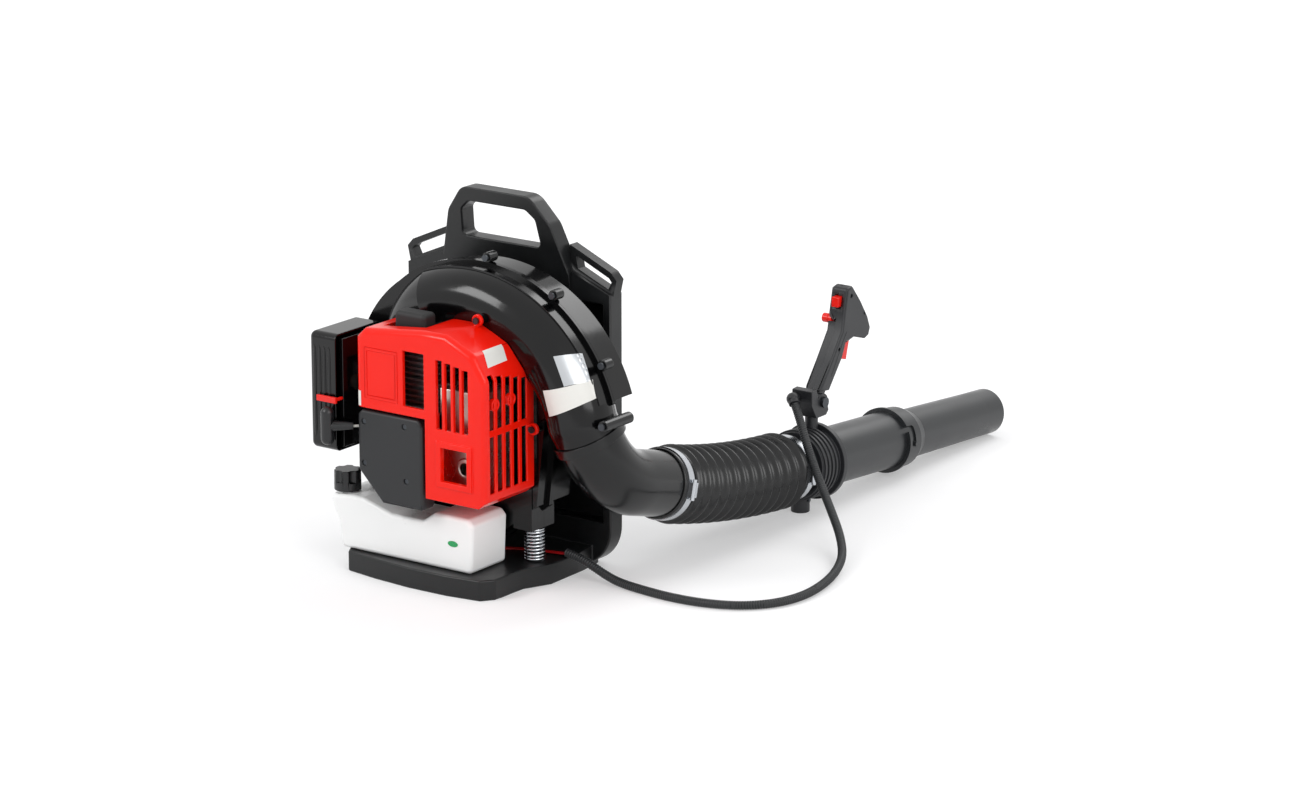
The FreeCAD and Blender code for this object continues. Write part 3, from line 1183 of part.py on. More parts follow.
def rounded_route(points, radius, caps=None):
    """A tube along straight runs joined by tangent arcs; prints each arc's radius."""
    edges = []
    length = 0
    start = points[0]
    radii = []
    for before, corner, after in zip(points, points[1:], points[2:]):
        into = (before - corner)
        out = (after - corner)
        shorter = min(into.Length, out.Length)
        first = corner + into.normalize() * (0.45 * shorter)
        last = corner + out.normalize() * (0.45 * shorter)
        turn = math.pi - into.getAngle(out)
        bend = 0.45 * shorter / math.tan(turn / 2)
        radii.append(bend)
        centre = corner + (into + out).normalize() * (bend / math.cos(turn / 2))
        middle = centre + (corner - centre).normalize() * bend
        edges.append(Part.makeLine(start, first))
        edges.append(Part.Arc(first, middle, last).toShape())
        start = last
    edges.append(Part.makeLine(start, points[-1]))
    length = sum(edge.Length for edge in edges)
    wire = Part.Wire(edges)
    section = Part.Wire(Part.makeCircle(radius, points[0], points[1] - points[0]))
    solid = wire.makePipeShell([section], True, False)
    print("conduit length", round(length), "radii", [round(value) for value in radii])
    print("volume against section times length", round(solid.Volume / (math.pi * radius ** 2 * length), 4))
    return solid


CONDUIT = [(141, 32, 34.3), (161, 33, 31), (181, 35, 22.5), (201, 37, 13), (223, 36, 7.4), (260, 32, 6.1),
           (310, 27, 6.1), (362, 32, 6.1), (408, 52, 6.1), (438, 88, 6.2), (449, 134, 6.6), (444, 186, 7.6),
           (430, 236, 9), (408, 286, 14), (374, 330, 26), (334, 368, 44), (300, 394, 68), (272, 412, 96),
           (250, 427, 122), (233, 440, 142), (220, 449, 155)]
WIRE_LINES = (-2.5, 0, 2.5)
WIRE_ROUTE = [(140.7, 32, 33), (118, 32, 31), (92, 29, 29.6), (66, 22, 29.4), (44, 6, 29.6), (33, -14, 31),
              (29, -25, 42), (26, -27, 66), (22, -27, 96), (14, -27.1, 120), (8, -27.1, 135.6)]


def build_conduit():
    """Corrugated conduit from the base to the handle, its gland and the wires by the tank."""
    points = [Vector(*point) for point in CONDUIT]
    node("control_conduit", shaped(rounded_route(points, S.conduit_radius.number)))
    end = points[-1]
    heading = (points[-1] - points[-2]).normalize()
    yoke_front = 462 - S.seat_gap.number
    ball_centre = end + heading * 9
    gland = Part.makeCylinder(8, 9, end, heading).fuse([
        Part.makeSphere(9, ball_centre),
        Part.makeCylinder(7, yoke_front - ball_centre.y, ball_centre, Vector(0, 1, 0))])
    node("conduit_gland", shaped(gland))
    wires = []
    for across in WIRE_LINES:
        route = [Vector(x - across * (index > 3), y + across * (index <= 5), z)
                 for index, (x, y, z) in enumerate(WIRE_ROUTE)]
        wires.append(shaped(rounded_route(route, 1.1)))
    node("control_wires", group(*wires))


# ---------------------------------------------------------------- build and write

def check_document():
    """Stop on any failed object or missing shape."""
    document.recompute()
    for item in document.Objects:
        bad = [state for state in item.State if state in ("Invalid", "Error")]
        if bad:
            raise RuntimeError(f"{item.Name} {item.Label} is {bad}")
    for name, item in NODES.items():
        if item.Shape.isNull() or not item.Shape.isValid():
            raise RuntimeError(f"{name} has no valid shape")
        if not item.Shape.Solids:
            raise RuntimeError(f"{name} has no solid")


def write_nodes():
    """Write each sub-part to a STEP file of its own name."""
    os.makedirs("parts", exist_ok=True)
    for name, item in NODES.items():
        item.Shape.exportStep(f"parts/{name}.step")
        print(name, len(item.Shape.Solids), "solids", round(item.Shape.Volume / 1000, 1), "cm3")


build_frame()
build_pad()
build_mounts()
build_housing()
build_intake_guard()
build_impeller()
build_engine()
build_filter()
build_starter()
build_engine_cover()
build_tank()
build_elbow()
build_bellows()
build_pipe()
build_clamp()
build_handle()
build_conduit()
check_document()
write_nodes()
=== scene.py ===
# %% [markdown]
# # A backpack leaf blower
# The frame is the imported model: every rigid piece is there at its real size, in metres, with +Z up,
# the engine towards -Y and the wearer behind the machine at +Y. This notebook gives the pieces their
# finishes and makes again, as surfaces worked out on grids, the soft and coiled pieces that a plain
# solid only stands in for.

# %% Load the frame
import json
import math

import bmesh
import bpy
import numpy as np
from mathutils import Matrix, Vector
from mathutils.bvhtree import BVHTree


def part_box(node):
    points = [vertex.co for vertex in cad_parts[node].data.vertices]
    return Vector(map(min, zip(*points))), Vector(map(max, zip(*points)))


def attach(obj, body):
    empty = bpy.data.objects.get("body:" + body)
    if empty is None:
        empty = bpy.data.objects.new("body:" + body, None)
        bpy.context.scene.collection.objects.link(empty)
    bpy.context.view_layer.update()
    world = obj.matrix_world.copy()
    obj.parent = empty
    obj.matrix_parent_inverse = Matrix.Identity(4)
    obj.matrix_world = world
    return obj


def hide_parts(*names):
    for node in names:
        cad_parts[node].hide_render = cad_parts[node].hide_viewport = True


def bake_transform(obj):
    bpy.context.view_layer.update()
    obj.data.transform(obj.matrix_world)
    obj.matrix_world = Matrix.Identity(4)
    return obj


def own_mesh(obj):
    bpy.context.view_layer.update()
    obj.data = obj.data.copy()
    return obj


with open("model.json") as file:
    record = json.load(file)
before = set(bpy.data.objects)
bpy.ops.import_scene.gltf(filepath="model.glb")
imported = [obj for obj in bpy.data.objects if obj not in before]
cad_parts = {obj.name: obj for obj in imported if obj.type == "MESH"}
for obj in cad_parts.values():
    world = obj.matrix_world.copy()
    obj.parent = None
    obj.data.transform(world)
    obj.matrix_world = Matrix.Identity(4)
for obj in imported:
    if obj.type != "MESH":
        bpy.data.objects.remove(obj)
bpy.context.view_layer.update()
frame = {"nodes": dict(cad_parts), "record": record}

NODES = frame["nodes"]
UP = np.array([0.0, 0.0, 1.0])
TURN = 2 * math.pi
print("pieces in the frame:", len(NODES))

# %% [markdown]
# ## Camera
# A long lens from the front right and a little above keeps upright edges nearly parallel, as in a
# catalogue picture. The camera is made first because the loose conduit is judged by what it sees.

# %% Camera
CAMERA_PLACE = Vector((3.6012, -4.6131, 1.8465))
CAMERA_TARGET = Vector((0.19915, 0.13836, 0.22757))
lens = bpy.data.cameras.new("camera")
lens.sensor_width = 36
lens.lens = 128
lens.clip_end = 60
camera = bpy.data.objects.new("camera", lens)
camera.location = CAMERA_PLACE
camera.rotation_euler = (CAMERA_TARGET - CAMERA_PLACE).to_track_quat("-Z", "Y").to_euler()
bpy.context.scene.collection.objects.link(camera)
bpy.context.scene.camera = camera
print("camera distance", round((CAMERA_TARGET - CAMERA_PLACE).length, 3))

# %% [markdown]
# ## Surfaces on grids
# Most of the new pieces are tubes of some kind: a ring of points is carried along a line. A grid of
# points, one row per ring, becomes a mesh by joining each point to its neighbours. Whole arrays do
# this at once, so a helix of a hundred thousand points costs no more lines than a cylinder.

# %% Grid helpers
def mesh_object(name, points, faces, smooth_angle=40):
    """A new object from points and faces; edges sharper than the angle stay crisp."""
    mesh = bpy.data.meshes.new(name)
    mesh.from_pydata(np.asarray(points, float).reshape(-1, 3).tolist(), [], faces)
    mesh.update()
    shape = bmesh.new()
    shape.from_mesh(mesh)
    closed = all(edge.is_manifold for edge in shape.edges)
    if closed and shape.calc_volume(signed=True) < 0:
        bmesh.ops.reverse_faces(shape, faces=shape.faces)
    shape.to_mesh(mesh)
    shape.free()
    mesh.shade_smooth()
    mesh.set_sharp_from_angle(angle=math.radians(smooth_angle))
    made = bpy.data.objects.new(name, mesh)
    bpy.context.scene.collection.objects.link(made)
    return made


def surface(name, grid, around=True, caps=True, ring=False, smooth_angle=40):
    """Mesh over grid[i, j]: each small square between neighbouring rows and columns is a face.

    around joins the last column to the first, ring the last row to the first, and caps closes the
    first and last rows with one flat face each.
    """
    rows, columns = grid.shape[:2]
    index = np.arange(rows * columns).reshape(rows, columns)
    if around:
        index = np.concatenate([index, index[:, :1]], axis=1)
    if ring:
        index = np.concatenate([index, index[:1]], axis=0)
    low, high = index[:-1], index[1:]
    quads = np.stack([low[:, :-1], low[:, 1:], high[:, 1:], high[:, :-1]], axis=-1).reshape(-1, 4)
    faces = quads.tolist()
    if caps and around and not ring:
        faces += [index[0, :-1][::-1].tolist(), index[-1, :-1].tolist()]
    return mesh_object(name, grid, faces, smooth_angle)


def unit(vectors):
    """Each vector divided by its own length."""
    return vectors / np.linalg.norm(vectors, axis=-1, keepdims=True)


def frames_along(line, reference=UP):
    """Two unit vectors across a line at each of its points: tangent x reference, and the other."""
    tangent = unit(np.gradient(line, axis=0))
    side = unit(np.cross(tangent, np.broadcast_to(reference, tangent.shape)))
    return side, np.cross(side, tangent)


def tube_grid(line, radii, sides, reference=UP):
    """Rings round a line: centre + radius * (cos(angle) * side + sin(angle) * other)."""
    side, other = frames_along(line, reference)
    angle = np.linspace(0, TURN, sides, endpoint=False)[None, :, None]
    radii = np.broadcast_to(radii, len(line))[:, None, None]
    return line[:, None] + radii * (np.cos(angle) * side[:, None] + np.sin(angle) * other[:, None])


def turned_grid(centre, axis, profile, sides=48):
    """A profile of (distance along the axis, radius) pairs turned once round the axis."""
    axis = unit(np.asarray(axis, float))
    helper = UP if abs(axis[2]) < 0.9 else np.array([1.0, 0, 0])
    side = unit(np.cross(axis, helper))
    other = np.cross(axis, side)
    angle = np.linspace(0, TURN, sides, endpoint=False)[None, :, None]
    profile = np.asarray(profile, float)
    along = np.asarray(centre, float) + profile[:, :1] * axis
    return along[:, None] + profile[:, 1, None, None] * (np.cos(angle) * side + np.sin(angle) * other)


def resampled(line, count):
    """The line as evenly spaced points, by interpolation over its running length."""
    steps = np.linalg.norm(np.diff(line, axis=0), axis=1)
    run = np.concatenate([[0], np.cumsum(steps)])
    wanted = np.linspace(0, run[-1], count)
    return np.stack([np.interp(wanted, run, line[:, k]) for k in range(3)], axis=1), run[-1]


def smooth_route(points_mm):
    """The smooth spline that a bendy line takes past its control points, as an array in metres."""
    curve = bpy.data.curves.new("route", "CURVE")
    curve.dimensions = "3D"
    curve.resolution_u = 16
    spline = curve.splines.new("NURBS")
    spline.points.add(len(points_mm) - 1)
    places = np.column_stack([np.asarray(points_mm, float) / 1000, np.ones(len(points_mm))])
    spline.points.foreach_set("co", places.ravel())
    spline.order_u = 3
    spline.use_endpoint_u = True
    holder = bpy.data.objects.new("route", curve)
    bpy.context.scene.collection.objects.link(holder)
    bpy.context.view_layer.update()
    mesh = bpy.data.meshes.new_from_object(holder)
    line = np.empty(len(mesh.vertices) * 3)
    mesh.vertices.foreach_get("co", line)
    bpy.data.objects.remove(holder)
    bpy.data.meshes.remove(mesh)
    bpy.data.curves.remove(curve)
    return line.reshape(-1, 3)


# %% [markdown]
# ## Control conduit
# A ribbed plastic conduit carries the throttle cable and the stop wires from the base to the grip.
# It is 12 mm thick, lies on the ground beside the elbow and rises to the grip. A bent cylinder would
# look like wire, so the line is a smooth spline and the tube's radius follows a wave of ribs. The
# conduit crosses two joints and is made in two lengths.

# %% Control conduit
CONDUIT_ROUTE = [
    (141, 32, 34.3), (161, 33, 31), (181, 35, 22.5), (201, 37, 13), (223, 36, 7.4), (260, 32, 6.1),
    (310, 27, 6.1), (362, 32, 6.1), (408, 52, 6.1), (438, 88, 6.2), (449, 134, 6.6), (444, 186, 7.6),
    (430, 236, 9), (408, 286, 14), (374, 330, 26), (334, 368, 44), (300, 394, 68), (272, 412, 96),
    (250, 427, 122), (233, 440, 142), (220, 449, 155)]
CONDUIT_RADIUS = 0.006
RIB_PITCH = 0.0034
RIB_DEPTH = 0.0011


def ribbed(length, count):
    """Radius along the conduit: the outer radius less a rounded notch once in every rib pitch."""
    along = np.linspace(0, length, count)
    wave = 0.5 + 0.5 * np.cos(TURN * along / RIB_PITCH)
    return CONDUIT_RADIUS - RIB_DEPTH * (1 - wave ** 0.5)


def conduit_piece(name, line):
    """One length of ribbed conduit along a line."""
    length = resampled(line, 2)[1]
    count = int(length / RIB_PITCH * 6)
    path, length = resampled(line, count)
    piece = surface(name, tube_grid(path, ribbed(length, count), 18), smooth_angle=80)
    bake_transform(piece)
    return piece


conduit_line = resampled(smooth_route(CONDUIT_ROUTE), 400)[0]
conduit_split = 190
conduit_low = conduit_piece("conduit_low", conduit_line[:conduit_split + 1])
conduit_high = conduit_piece("conduit_high", conduit_line[conduit_split:])
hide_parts("control_conduit")
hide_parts("control_conduit")
print("conduit length", round(resampled(conduit_line, 2)[1], 3))

# %% [markdown]
# ## Materials
# Each finish starts from what the real surface is. One function turns a written colour into the
# linear values that light works with, and one adds a node with its settings and links.

# %% Material helpers
def linear(code, alpha=1.0):
    """An sRGB hex colour as linear values: the inverse of the display curve, channel by channel."""
    values = np.array([int(code[k:k + 2], 16) for k in (1, 3, 5)]) / 255
    curve = np.where(values <= 0.04045, values / 12.92, ((values + 0.055) / 1.055) ** 2.4)
    return (*curve.tolist(), alpha)


def add(tree, kind, settings=None, values=None, links=None):
    """Add a node, set its properties and constant inputs, and link other sockets into it."""
    made = tree.nodes.new(kind)
    for name, value in (settings or {}).items():
        setattr(made, name, value)
    for name, value in (values or {}).items():
        made.inputs[name].default_value = value
    for name, socket in (links or {}).items():
        tree.links.new(socket, made.inputs[name])
    return made


def new_material(name):
    """An empty material with its output node, as (material, tree, output)."""
    material = bpy.data.materials.new(name)
    material.use_nodes = True
    tree = material.node_tree
    tree.nodes.clear()
    return material, tree, add(tree, "ShaderNodeOutputMaterial")


def per_metre(millimetres):
    """Texture scale at which one feature has that size."""
    return 1000 / millimetres


def surface_finish(name, colour, rough, grain_mm=0.8, grain_depth=0.03, spread=0.06, tone=0.12,
                   metallic=0.0, stretch=(1, 1, 1), shader=None, second=None):
    """A base colour that drifts a little, a roughness that drifts, and a fine relief in the surface.

    colour is the written colour, second the one it drifts to, spread how far roughness drifts, tone
    how far the colour drifts, and stretch lengthens the grain along an axis.
    """
    material, tree, output = new_material(name)
    place = add(tree, "ShaderNodeTexCoord").outputs["Object"]
    cloud = add(tree, "ShaderNodeTexNoise", values={"Scale": per_metre(38), "Detail": 4.0},
                links={"Vector": place})
    shade = add(tree, "ShaderNodeMapRange", values={"From Min": 0.3, "From Max": 0.7, "To Min": 0.0,
                                                    "To Max": tone}, links={"Value": cloud.outputs["Fac"]})
    darker = second or "#8a8a8a"
    mixed = add(tree, "ShaderNodeMix", {"data_type": "RGBA"}, links={"Factor": shade.outputs[0]})
    for socket in mixed.inputs:
        if socket.type == "RGBA" and socket.name == "A":
            socket.default_value = linear(colour)
        if socket.type == "RGBA" and socket.name == "B":
            socket.default_value = linear(darker)
    tint = [socket for socket in mixed.outputs if socket.type == "RGBA"][0]
    gloss = add(tree, "ShaderNodeMapRange", values={"From Min": 0.25, "From Max": 0.75,
                "To Min": max(rough - spread, 0.02), "To Max": rough + spread},
                links={"Value": cloud.outputs["Fac"]})
    squeezed = add(tree, "ShaderNodeMapping", {"vector_type": "POINT"}, {"Scale": stretch},
                   {"Vector": place})
    grain = add(tree, "ShaderNodeTexNoise", values={"Scale": per_metre(grain_mm), "Detail": 3.0},
                links={"Vector": squeezed.outputs[0]})
    relief = add(tree, "ShaderNodeBump", values={"Strength": 1.0, "Distance": grain_depth / 1000},
                 links={"Height": grain.outputs["Fac"]})
    body = add(tree, "ShaderNodeBsdfPrincipled", values={"Metallic": metallic, **(shader or {})},
               links={"Base Color": tint, "Roughness": gloss.outputs[0], "Normal": relief.outputs[0]})
    tree.links.new(body.outputs[0], output.inputs["Surface"])
    return material


# %% [markdown]
# ## The finishes
# Black parts differ mostly in how they were moulded: the fan housing and the filter cover are high
# gloss, the frame and the grip are grained, the tubes are extruded with a satin skin. The cover is
# ABS in a bright red, the tank natural polyethylene that lets light in, the springs are chrome plate.

# %% Finishes
FINISHES = {
    # Grained polypropylene: a fine leather-like mould texture breaks the reflection up.
    "frame_plastic": surface_finish("grained_polypropylene", "#121314", 0.36, 0.9, 0.025, second="#26282a",
                                    shader={"Specular IOR Level": 0.4}),
    "handle_plastic": surface_finish("grained_nylon", "#1d1e21", 0.44, 0.8, 0.03, second="#34363a"),
    "starter_plastic": surface_finish("spark_eroded_nylon", "#202123", 0.46, 0.7, 0.03, second="#36383a",
                                      shader={"Specular IOR Level": 0.4}),
    # Polished mould: a wide soft reflection with a faint waviness and almost no grain.
    "housing_plastic": surface_finish("polished_polypropylene", "#060607", 0.14, 14, 0.05, 0.03, 0.08,
                                      second="#151617", shader={"Specular IOR Level": 0.36}),
    "filter_plastic": surface_finish("polished_abs_black", "#070708", 0.1, 12, 0.04, 0.02, 0.08,
                                     second="#151617", shader={"Specular IOR Level": 0.4}),
    "duct_plastic": surface_finish("satin_polypropylene", "#090a0b", 0.2, 3, 0.015, 0.04, second="#1a1b1d",
                                   shader={"Specular IOR Level": 0.4}),
    # Blow-moulded or extruded tubes: satin, with faint lines along the tube.
    "tube_plastic": surface_finish("extruded_polyethylene", "#232527", 0.32, 1.2, 0.02, 0.06,
                                   stretch=(1, 0.06, 1), second="#3a3d40"),
    "cap_plastic": surface_finish("satin_nylon_black", "#111214", 0.36, 0.9, 0.02, second="#26282b"),
    "fan_plastic": surface_finish("glass_filled_nylon", "#2a2b2e", 0.5, 0.9, 0.03, second="#4a4b4e"),
    # Gloss ABS in signal red with a clear hard skin.
    "red_cover": surface_finish("gloss_abs_red", "#f41a08", 0.2, 10, 0.03, 0.05, 0.1, second="#d91206",
                                shader={"Specular IOR Level": 0.26}),
    "red_trim": surface_finish("satin_abs_red", "#ef1b0e", 0.32, 1.0, 0.02, 0.05, 0.1, second="#a80f10"),
    # Natural polyethylene: light enters it, spreads and comes out again, so edges look soft.
    "tank_plastic": surface_finish("natural_polyethylene", "#fdfefd", 0.32, 1.4, 0.02, 0.06, 0.1,
                                   second="#f4f5f3", shader={"Subsurface Weight": 0.2,
                                   "Subsurface Radius": (0.9, 0.9, 0.85), "Subsurface Scale": 0.012}),
    "bellows_rubber": surface_finish("soft_vinyl", "#0c0d0e", 0.26, 1.1, 0.012, 0.05, second="#1c1d20"),
    "rubber": surface_finish("moulded_rubber", "#121213", 0.62, 0.8, 0.04, second="#2a2a2b"),
    "conduit_plastic": surface_finish("ribbed_polyamide", "#1c1e20", 0.42, 0.7, 0.015, second="#34373a"),
    "hose_rubber": surface_finish("fuel_hose_rubber", "#2b2a26", 0.5, 0.7, 0.03, second="#46443d"),
    "wire_red": surface_finish("wire_insulation", "#b31217", 0.35, 1.0, 0.01, second="#8a0f12"),
    # Electroplated spring wire: nearly a mirror.
    "spring_steel": surface_finish("chrome_plate", "#dfe2e6", 0.1, 2.0, 0.004, 0.04, 0.2, 1.0,
                                   second="#b3b8bf"),
    "zinc_steel": surface_finish("zinc_plated_strip", "#c3c6ca", 0.26, 0.5, 0.008, 0.08, 0.3, 1.0,
                                 stretch=(1, 1, 8), second="#9a9ea4"),
    "dark_screw": surface_finish("black_zinc_steel", "#4c4f53", 0.34, 0.5, 0.006, 0.08, 0.3, 1.0,
                                 second="#2c2e31"),
    "shaft_steel": surface_finish("ground_steel", "#a9acb0", 0.28, 0.4, 0.006, 0.08, 0.3, 1.0,
                                  stretch=(1, 8, 1), second="#85888c"),
    "die_cast": surface_finish("blasted_aluminium", "#a9abad", 0.5, 0.6, 0.05, 0.1, 0.3, 1.0,
                               second="#8a8c8e"),
    "muffler_steel": surface_finish("heat_toned_steel", "#d8d4cd", 0.3, 0.8, 0.02, 0.1, 0.4, 1.0,
                                    second="#a79d90"),
    "gasket": surface_finish("pressed_fibre", "#5a5d60", 0.8, 0.6, 0.05, second="#72757a"),
    "heat_block": surface_finish("phenolic_resin", "#231c19", 0.5, 0.8, 0.02, second="#3a2e29"),
    "filter_felt": surface_finish("pleated_felt", "#d3c9a5", 0.9, 0.6, 0.12, second="#b3a983"),
    "primer_clear": surface_finish("clear_urethane", "#cbbfae", 0.15, 3.0, 0.005, 0.03, 0.1,
                                   second="#b5a78f", shader={"Transmission Weight": 0.5, "IOR": 1.45}),
    # Plain label stock: brushed foil, and vinyl film in one neutral colour.
    "label_foil": surface_finish("brushed_foil", "#c9cccf", 0.3, 0.5, 0.006, 0.06, 0.3, 0.9,
                                 stretch=(1, 1, 10), second="#a9adb1"),
    "label_vinyl": surface_finish("matt_vinyl_film", "#e4e3de", 0.45, 0.9, 0.006, 0.04, 0.2,
                                  second="#d2d1cb"),
    "dot_ink": surface_finish("printed_ink", "#1f9d57", 0.4, 0.6, 0.004, 0.04, 0.2, second="#178048"),
}
SLOT_OF = {row["node"]: row["material_slot"] for row in frame["record"]["subparts"]}


def dress(made, slot):
    """Give a piece the finish of a material slot."""
    material = FINISHES[slot]
    if made.material_slots:
        for place in made.material_slots:
            place.material = material
    else:
        made.data.materials.append(material)


for node_name, node_object in NODES.items():
    if SLOT_OF.get(node_name) in FINISHES:
        dress(node_object, SLOT_OF[node_name])
for piece in (conduit_low, conduit_high):
    dress(piece, "conduit_plastic")
print("finishes:", len(FINISHES), "without one:", sorted(set(SLOT_OF.values()) - set(FINISHES)))

# %% [markdown]
# ## Nylon rope and woven pad cover
# A braided rope shows two families of strands that cross; the pad's cover is a plain weave. Both
# patterns are waves in two directions. A braid of 1.2 mm is coarse enough to be seen from afar.

# %% Woven finishes
def woven(name, colour, second, thread_mm, depth_mm, rough):
    """Two waves at right angles, one for each family of threads, drive colour and relief."""
    material, tree, output = new_material(name)
    place = add(tree, "ShaderNodeTexCoord").outputs["Object"]
    scale = TURN / (thread_mm / 1000) / 20
    first = add(tree, "ShaderNodeTexWave", {"bands_direction": "X"}, {"Scale": scale, "Distortion": 0.4},
                {"Vector": place})
    cross = add(tree, "ShaderNodeTexWave", {"bands_direction": "Z"}, {"Scale": scale, "Distortion": 0.4},
                {"Vector": place})
    both = add(tree, "ShaderNodeMath", {"operation": "MULTIPLY"},
               links={0: first.outputs["Fac"], 1: cross.outputs["Fac"]})
    ramp = add(tree, "ShaderNodeValToRGB", links={"Fac": both.outputs[0]})
    ramp.color_ramp.elements[0].color = linear(colour)
    ramp.color_ramp.elements[1].color = linear(second)
    relief = add(tree, "ShaderNodeBump", values={"Distance": depth_mm / 1000},
                 links={"Height": both.outputs[0]})
    body = add(tree, "ShaderNodeBsdfPrincipled", values={"Roughness": rough, "Sheen Weight": 0.3,
                                                         "Sheen Roughness": 0.5},
               links={"Base Color": ramp.outputs["Color"], "Normal": relief.outputs[0]})
    tree.links.new(body.outputs[0], output.inputs["Surface"])
    return material


FINISHES["pad_foam"] = woven("woven_polyester", "#1b1c1f", "#34363b", 1.6, 0.25, 0.85)
FINISHES["rope_fibre"] = woven("braided_nylon", "#b9b9b2", "#e6e6e0", 1.2, 0.2, 0.7)
for node_name in ("back_pad", "starter_rope"):
    dress(NODES[node_name], SLOT_OF[node_name])

# %% [markdown]
# ## Floor, backdrop and light
# The floor is pale and plain. A little light of its own, seen by the camera and in reflections only,
# brings it to a soft white without more light on the machine, and it keeps the machine's shadow.

# %% Floor and light
# Distance from the machine in metres, and the glow there: more of it far away, where less light falls.
GLOW_NEAR = (0.7, 0.3)
GLOW_FAR = (3.2, 0.55)


def stage_material():
    """A white diffuse floor plus a faint glow that only camera, glossy and clear rays see."""
    material, tree, output = new_material("white_paper")
    ray = add(tree, "ShaderNodeLightPath")
    seen = add(tree, "ShaderNodeMath", {"operation": "MAXIMUM"},
               links={0: ray.outputs["Is Camera Ray"], 1: ray.outputs["Is Glossy Ray"]})
    seen = add(tree, "ShaderNodeMath", {"operation": "MAXIMUM"},
               links={0: seen.outputs[0], 1: ray.outputs["Is Transmission Ray"]})
    place = add(tree, "ShaderNodeTexCoord").outputs["Object"]
    away = add(tree, "ShaderNodeVectorMath", {"operation": "LENGTH"}, links={0: place})
    glow_level = add(tree, "ShaderNodeMapRange", values={"From Min": GLOW_NEAR[0], "From Max": GLOW_FAR[0],
                     "To Min": GLOW_NEAR[1], "To Max": GLOW_FAR[1]}, links={"Value": away.outputs["Value"]})
    level = add(tree, "ShaderNodeMath", {"operation": "MULTIPLY"},
                links={0: seen.outputs[0], 1: glow_level.outputs[0]})
    paper = add(tree, "ShaderNodeBsdfDiffuse", values={"Color": linear("#dcdcdd")})
    glow = add(tree, "ShaderNodeEmission", links={"Strength": level.outputs[0]})
    total = add(tree, "ShaderNodeAddShader", links={0: paper.outputs[0], 1: glow.outputs[0]})
    tree.links.new(total.outputs[0], output.inputs["Surface"])
    return material


floor_size = 14.0
floor = surface("floor", np.array([[[x, y, 0.0] for x in (-floor_size, floor_size)]
                                   for y in (-floor_size, floor_size)]), around=False, caps=False)
floor.data.materials.append(stage_material())

world = bpy.data.worlds.new("studio")
bpy.context.scene.world = world
world.use_nodes = True
tree = world.node_tree
tree.nodes.clear()
ray = add(tree, "ShaderNodeLightPath")
seen = add(tree, "ShaderNodeMath", {"operation": "MAXIMUM"},
           links={0: ray.outputs["Is Camera Ray"], 1: ray.outputs["Is Glossy Ray"]})
seen = add(tree, "ShaderNodeMath", {"operation": "MAXIMUM"},
           links={0: seen.outputs[0], 1: ray.outputs["Is Transmission Ray"]})
level = add(tree, "ShaderNodeMapRange", values={"To Min": 0.72, "To Max": 1.0},
            links={"Value": seen.outputs[0]})
sky = add(tree, "ShaderNodeBackground", values={"Color": (1, 1, 1, 1)},
          links={"Strength": level.outputs[0]})
tree.links.new(sky.outputs[0], add(tree, "ShaderNodeOutputWorld").inputs["Surface"])


def softbox(name, place, aim, size, power):
    """A square lamp at a place that faces a point."""
    lamp = bpy.data.lights.new(name, "AREA")
    lamp.shape = "SQUARE"
    lamp.size = size
    lamp.energy = power
    holder = bpy.data.objects.new(name, lamp)
    holder.location = place
    holder.rotation_euler = (Vector(aim) - Vector(place)).to_track_quat("-Z", "Y").to_euler()
    bpy.context.scene.collection.objects.link(holder)


softbox("key", (-1.6, -2.6, 2.6), (0.1, 0.1, 0.2), 1.4, 52)
softbox("fill", (3.0, -1.2, 1.8), (0.1, 0.1, 0.2), 1.8, 34)
softbox("rim", (0.4, 2.6, 2.4), (0.1, 0.1, 0.2), 1.6, 28)
bpy.context.scene.view_settings.view_transform = "Standard"

# %% [markdown]
# ## Mounting springs
# Each spring is one chrome wire wound in a helix, with the end turns pressed flat together so that
# it stands square. The wire's centre goes round at a steady rate while its height follows a curve
# that is flat at both ends.

# %% Mounting springs
SPRING_RADIUS = 0.01425
SPRING_WIRE = 0.0015
SPRING_TURNS = 10.5


def spring(name, centre_x, low, high):
    """Wire centre: angle grows evenly, height eases in and out of the closed end turns."""
    share = np.linspace(0, 1, 900)
    angle = TURN * SPRING_TURNS * share
    closed = 1.2 / SPRING_TURNS
    free = np.clip((share - closed) / (1 - 2 * closed), 0, 1)
    rest = 2.1 * SPRING_WIRE * np.minimum(share, closed) / closed
    top = 2.1 * SPRING_WIRE * np.clip((share - 1 + closed) / closed, 0, 1)
    span = high - low - 2 * SPRING_WIRE - 4.2 * SPRING_WIRE
    height = low + SPRING_WIRE + rest + top + span * free
    mean = SPRING_RADIUS - SPRING_WIRE
    line = np.stack([centre_x + mean * np.cos(angle), mean * np.sin(angle), height], axis=1)
    piece = surface(name, tube_grid(line, SPRING_WIRE, 12), smooth_angle=60)
    dress(piece, "spring_steel")
    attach(piece, "chassis")
    return piece


spring_low, spring_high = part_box("mount_springs")
reach = spring_high.x - SPRING_RADIUS
springs = [spring(f"spring_{side}", sign * reach, spring_low.z, spring_high.z)
           for side, sign in (("left", -1), ("right", 1))]
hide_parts("mount_springs")
print("spring turns", SPRING_TURNS, "height", round(spring_high.z - spring_low.z, 4))

# %% [markdown]
# ## Bellows
# The bellows is soft vinyl, moulded with round folds that let the tube bend. Its line is an arc in an
# upright plane. The radius goes up and down as a rounded wave, and the cuffs at its ends are plain.
# Outer and inner skins are joined at the ends, so it is a real wall.

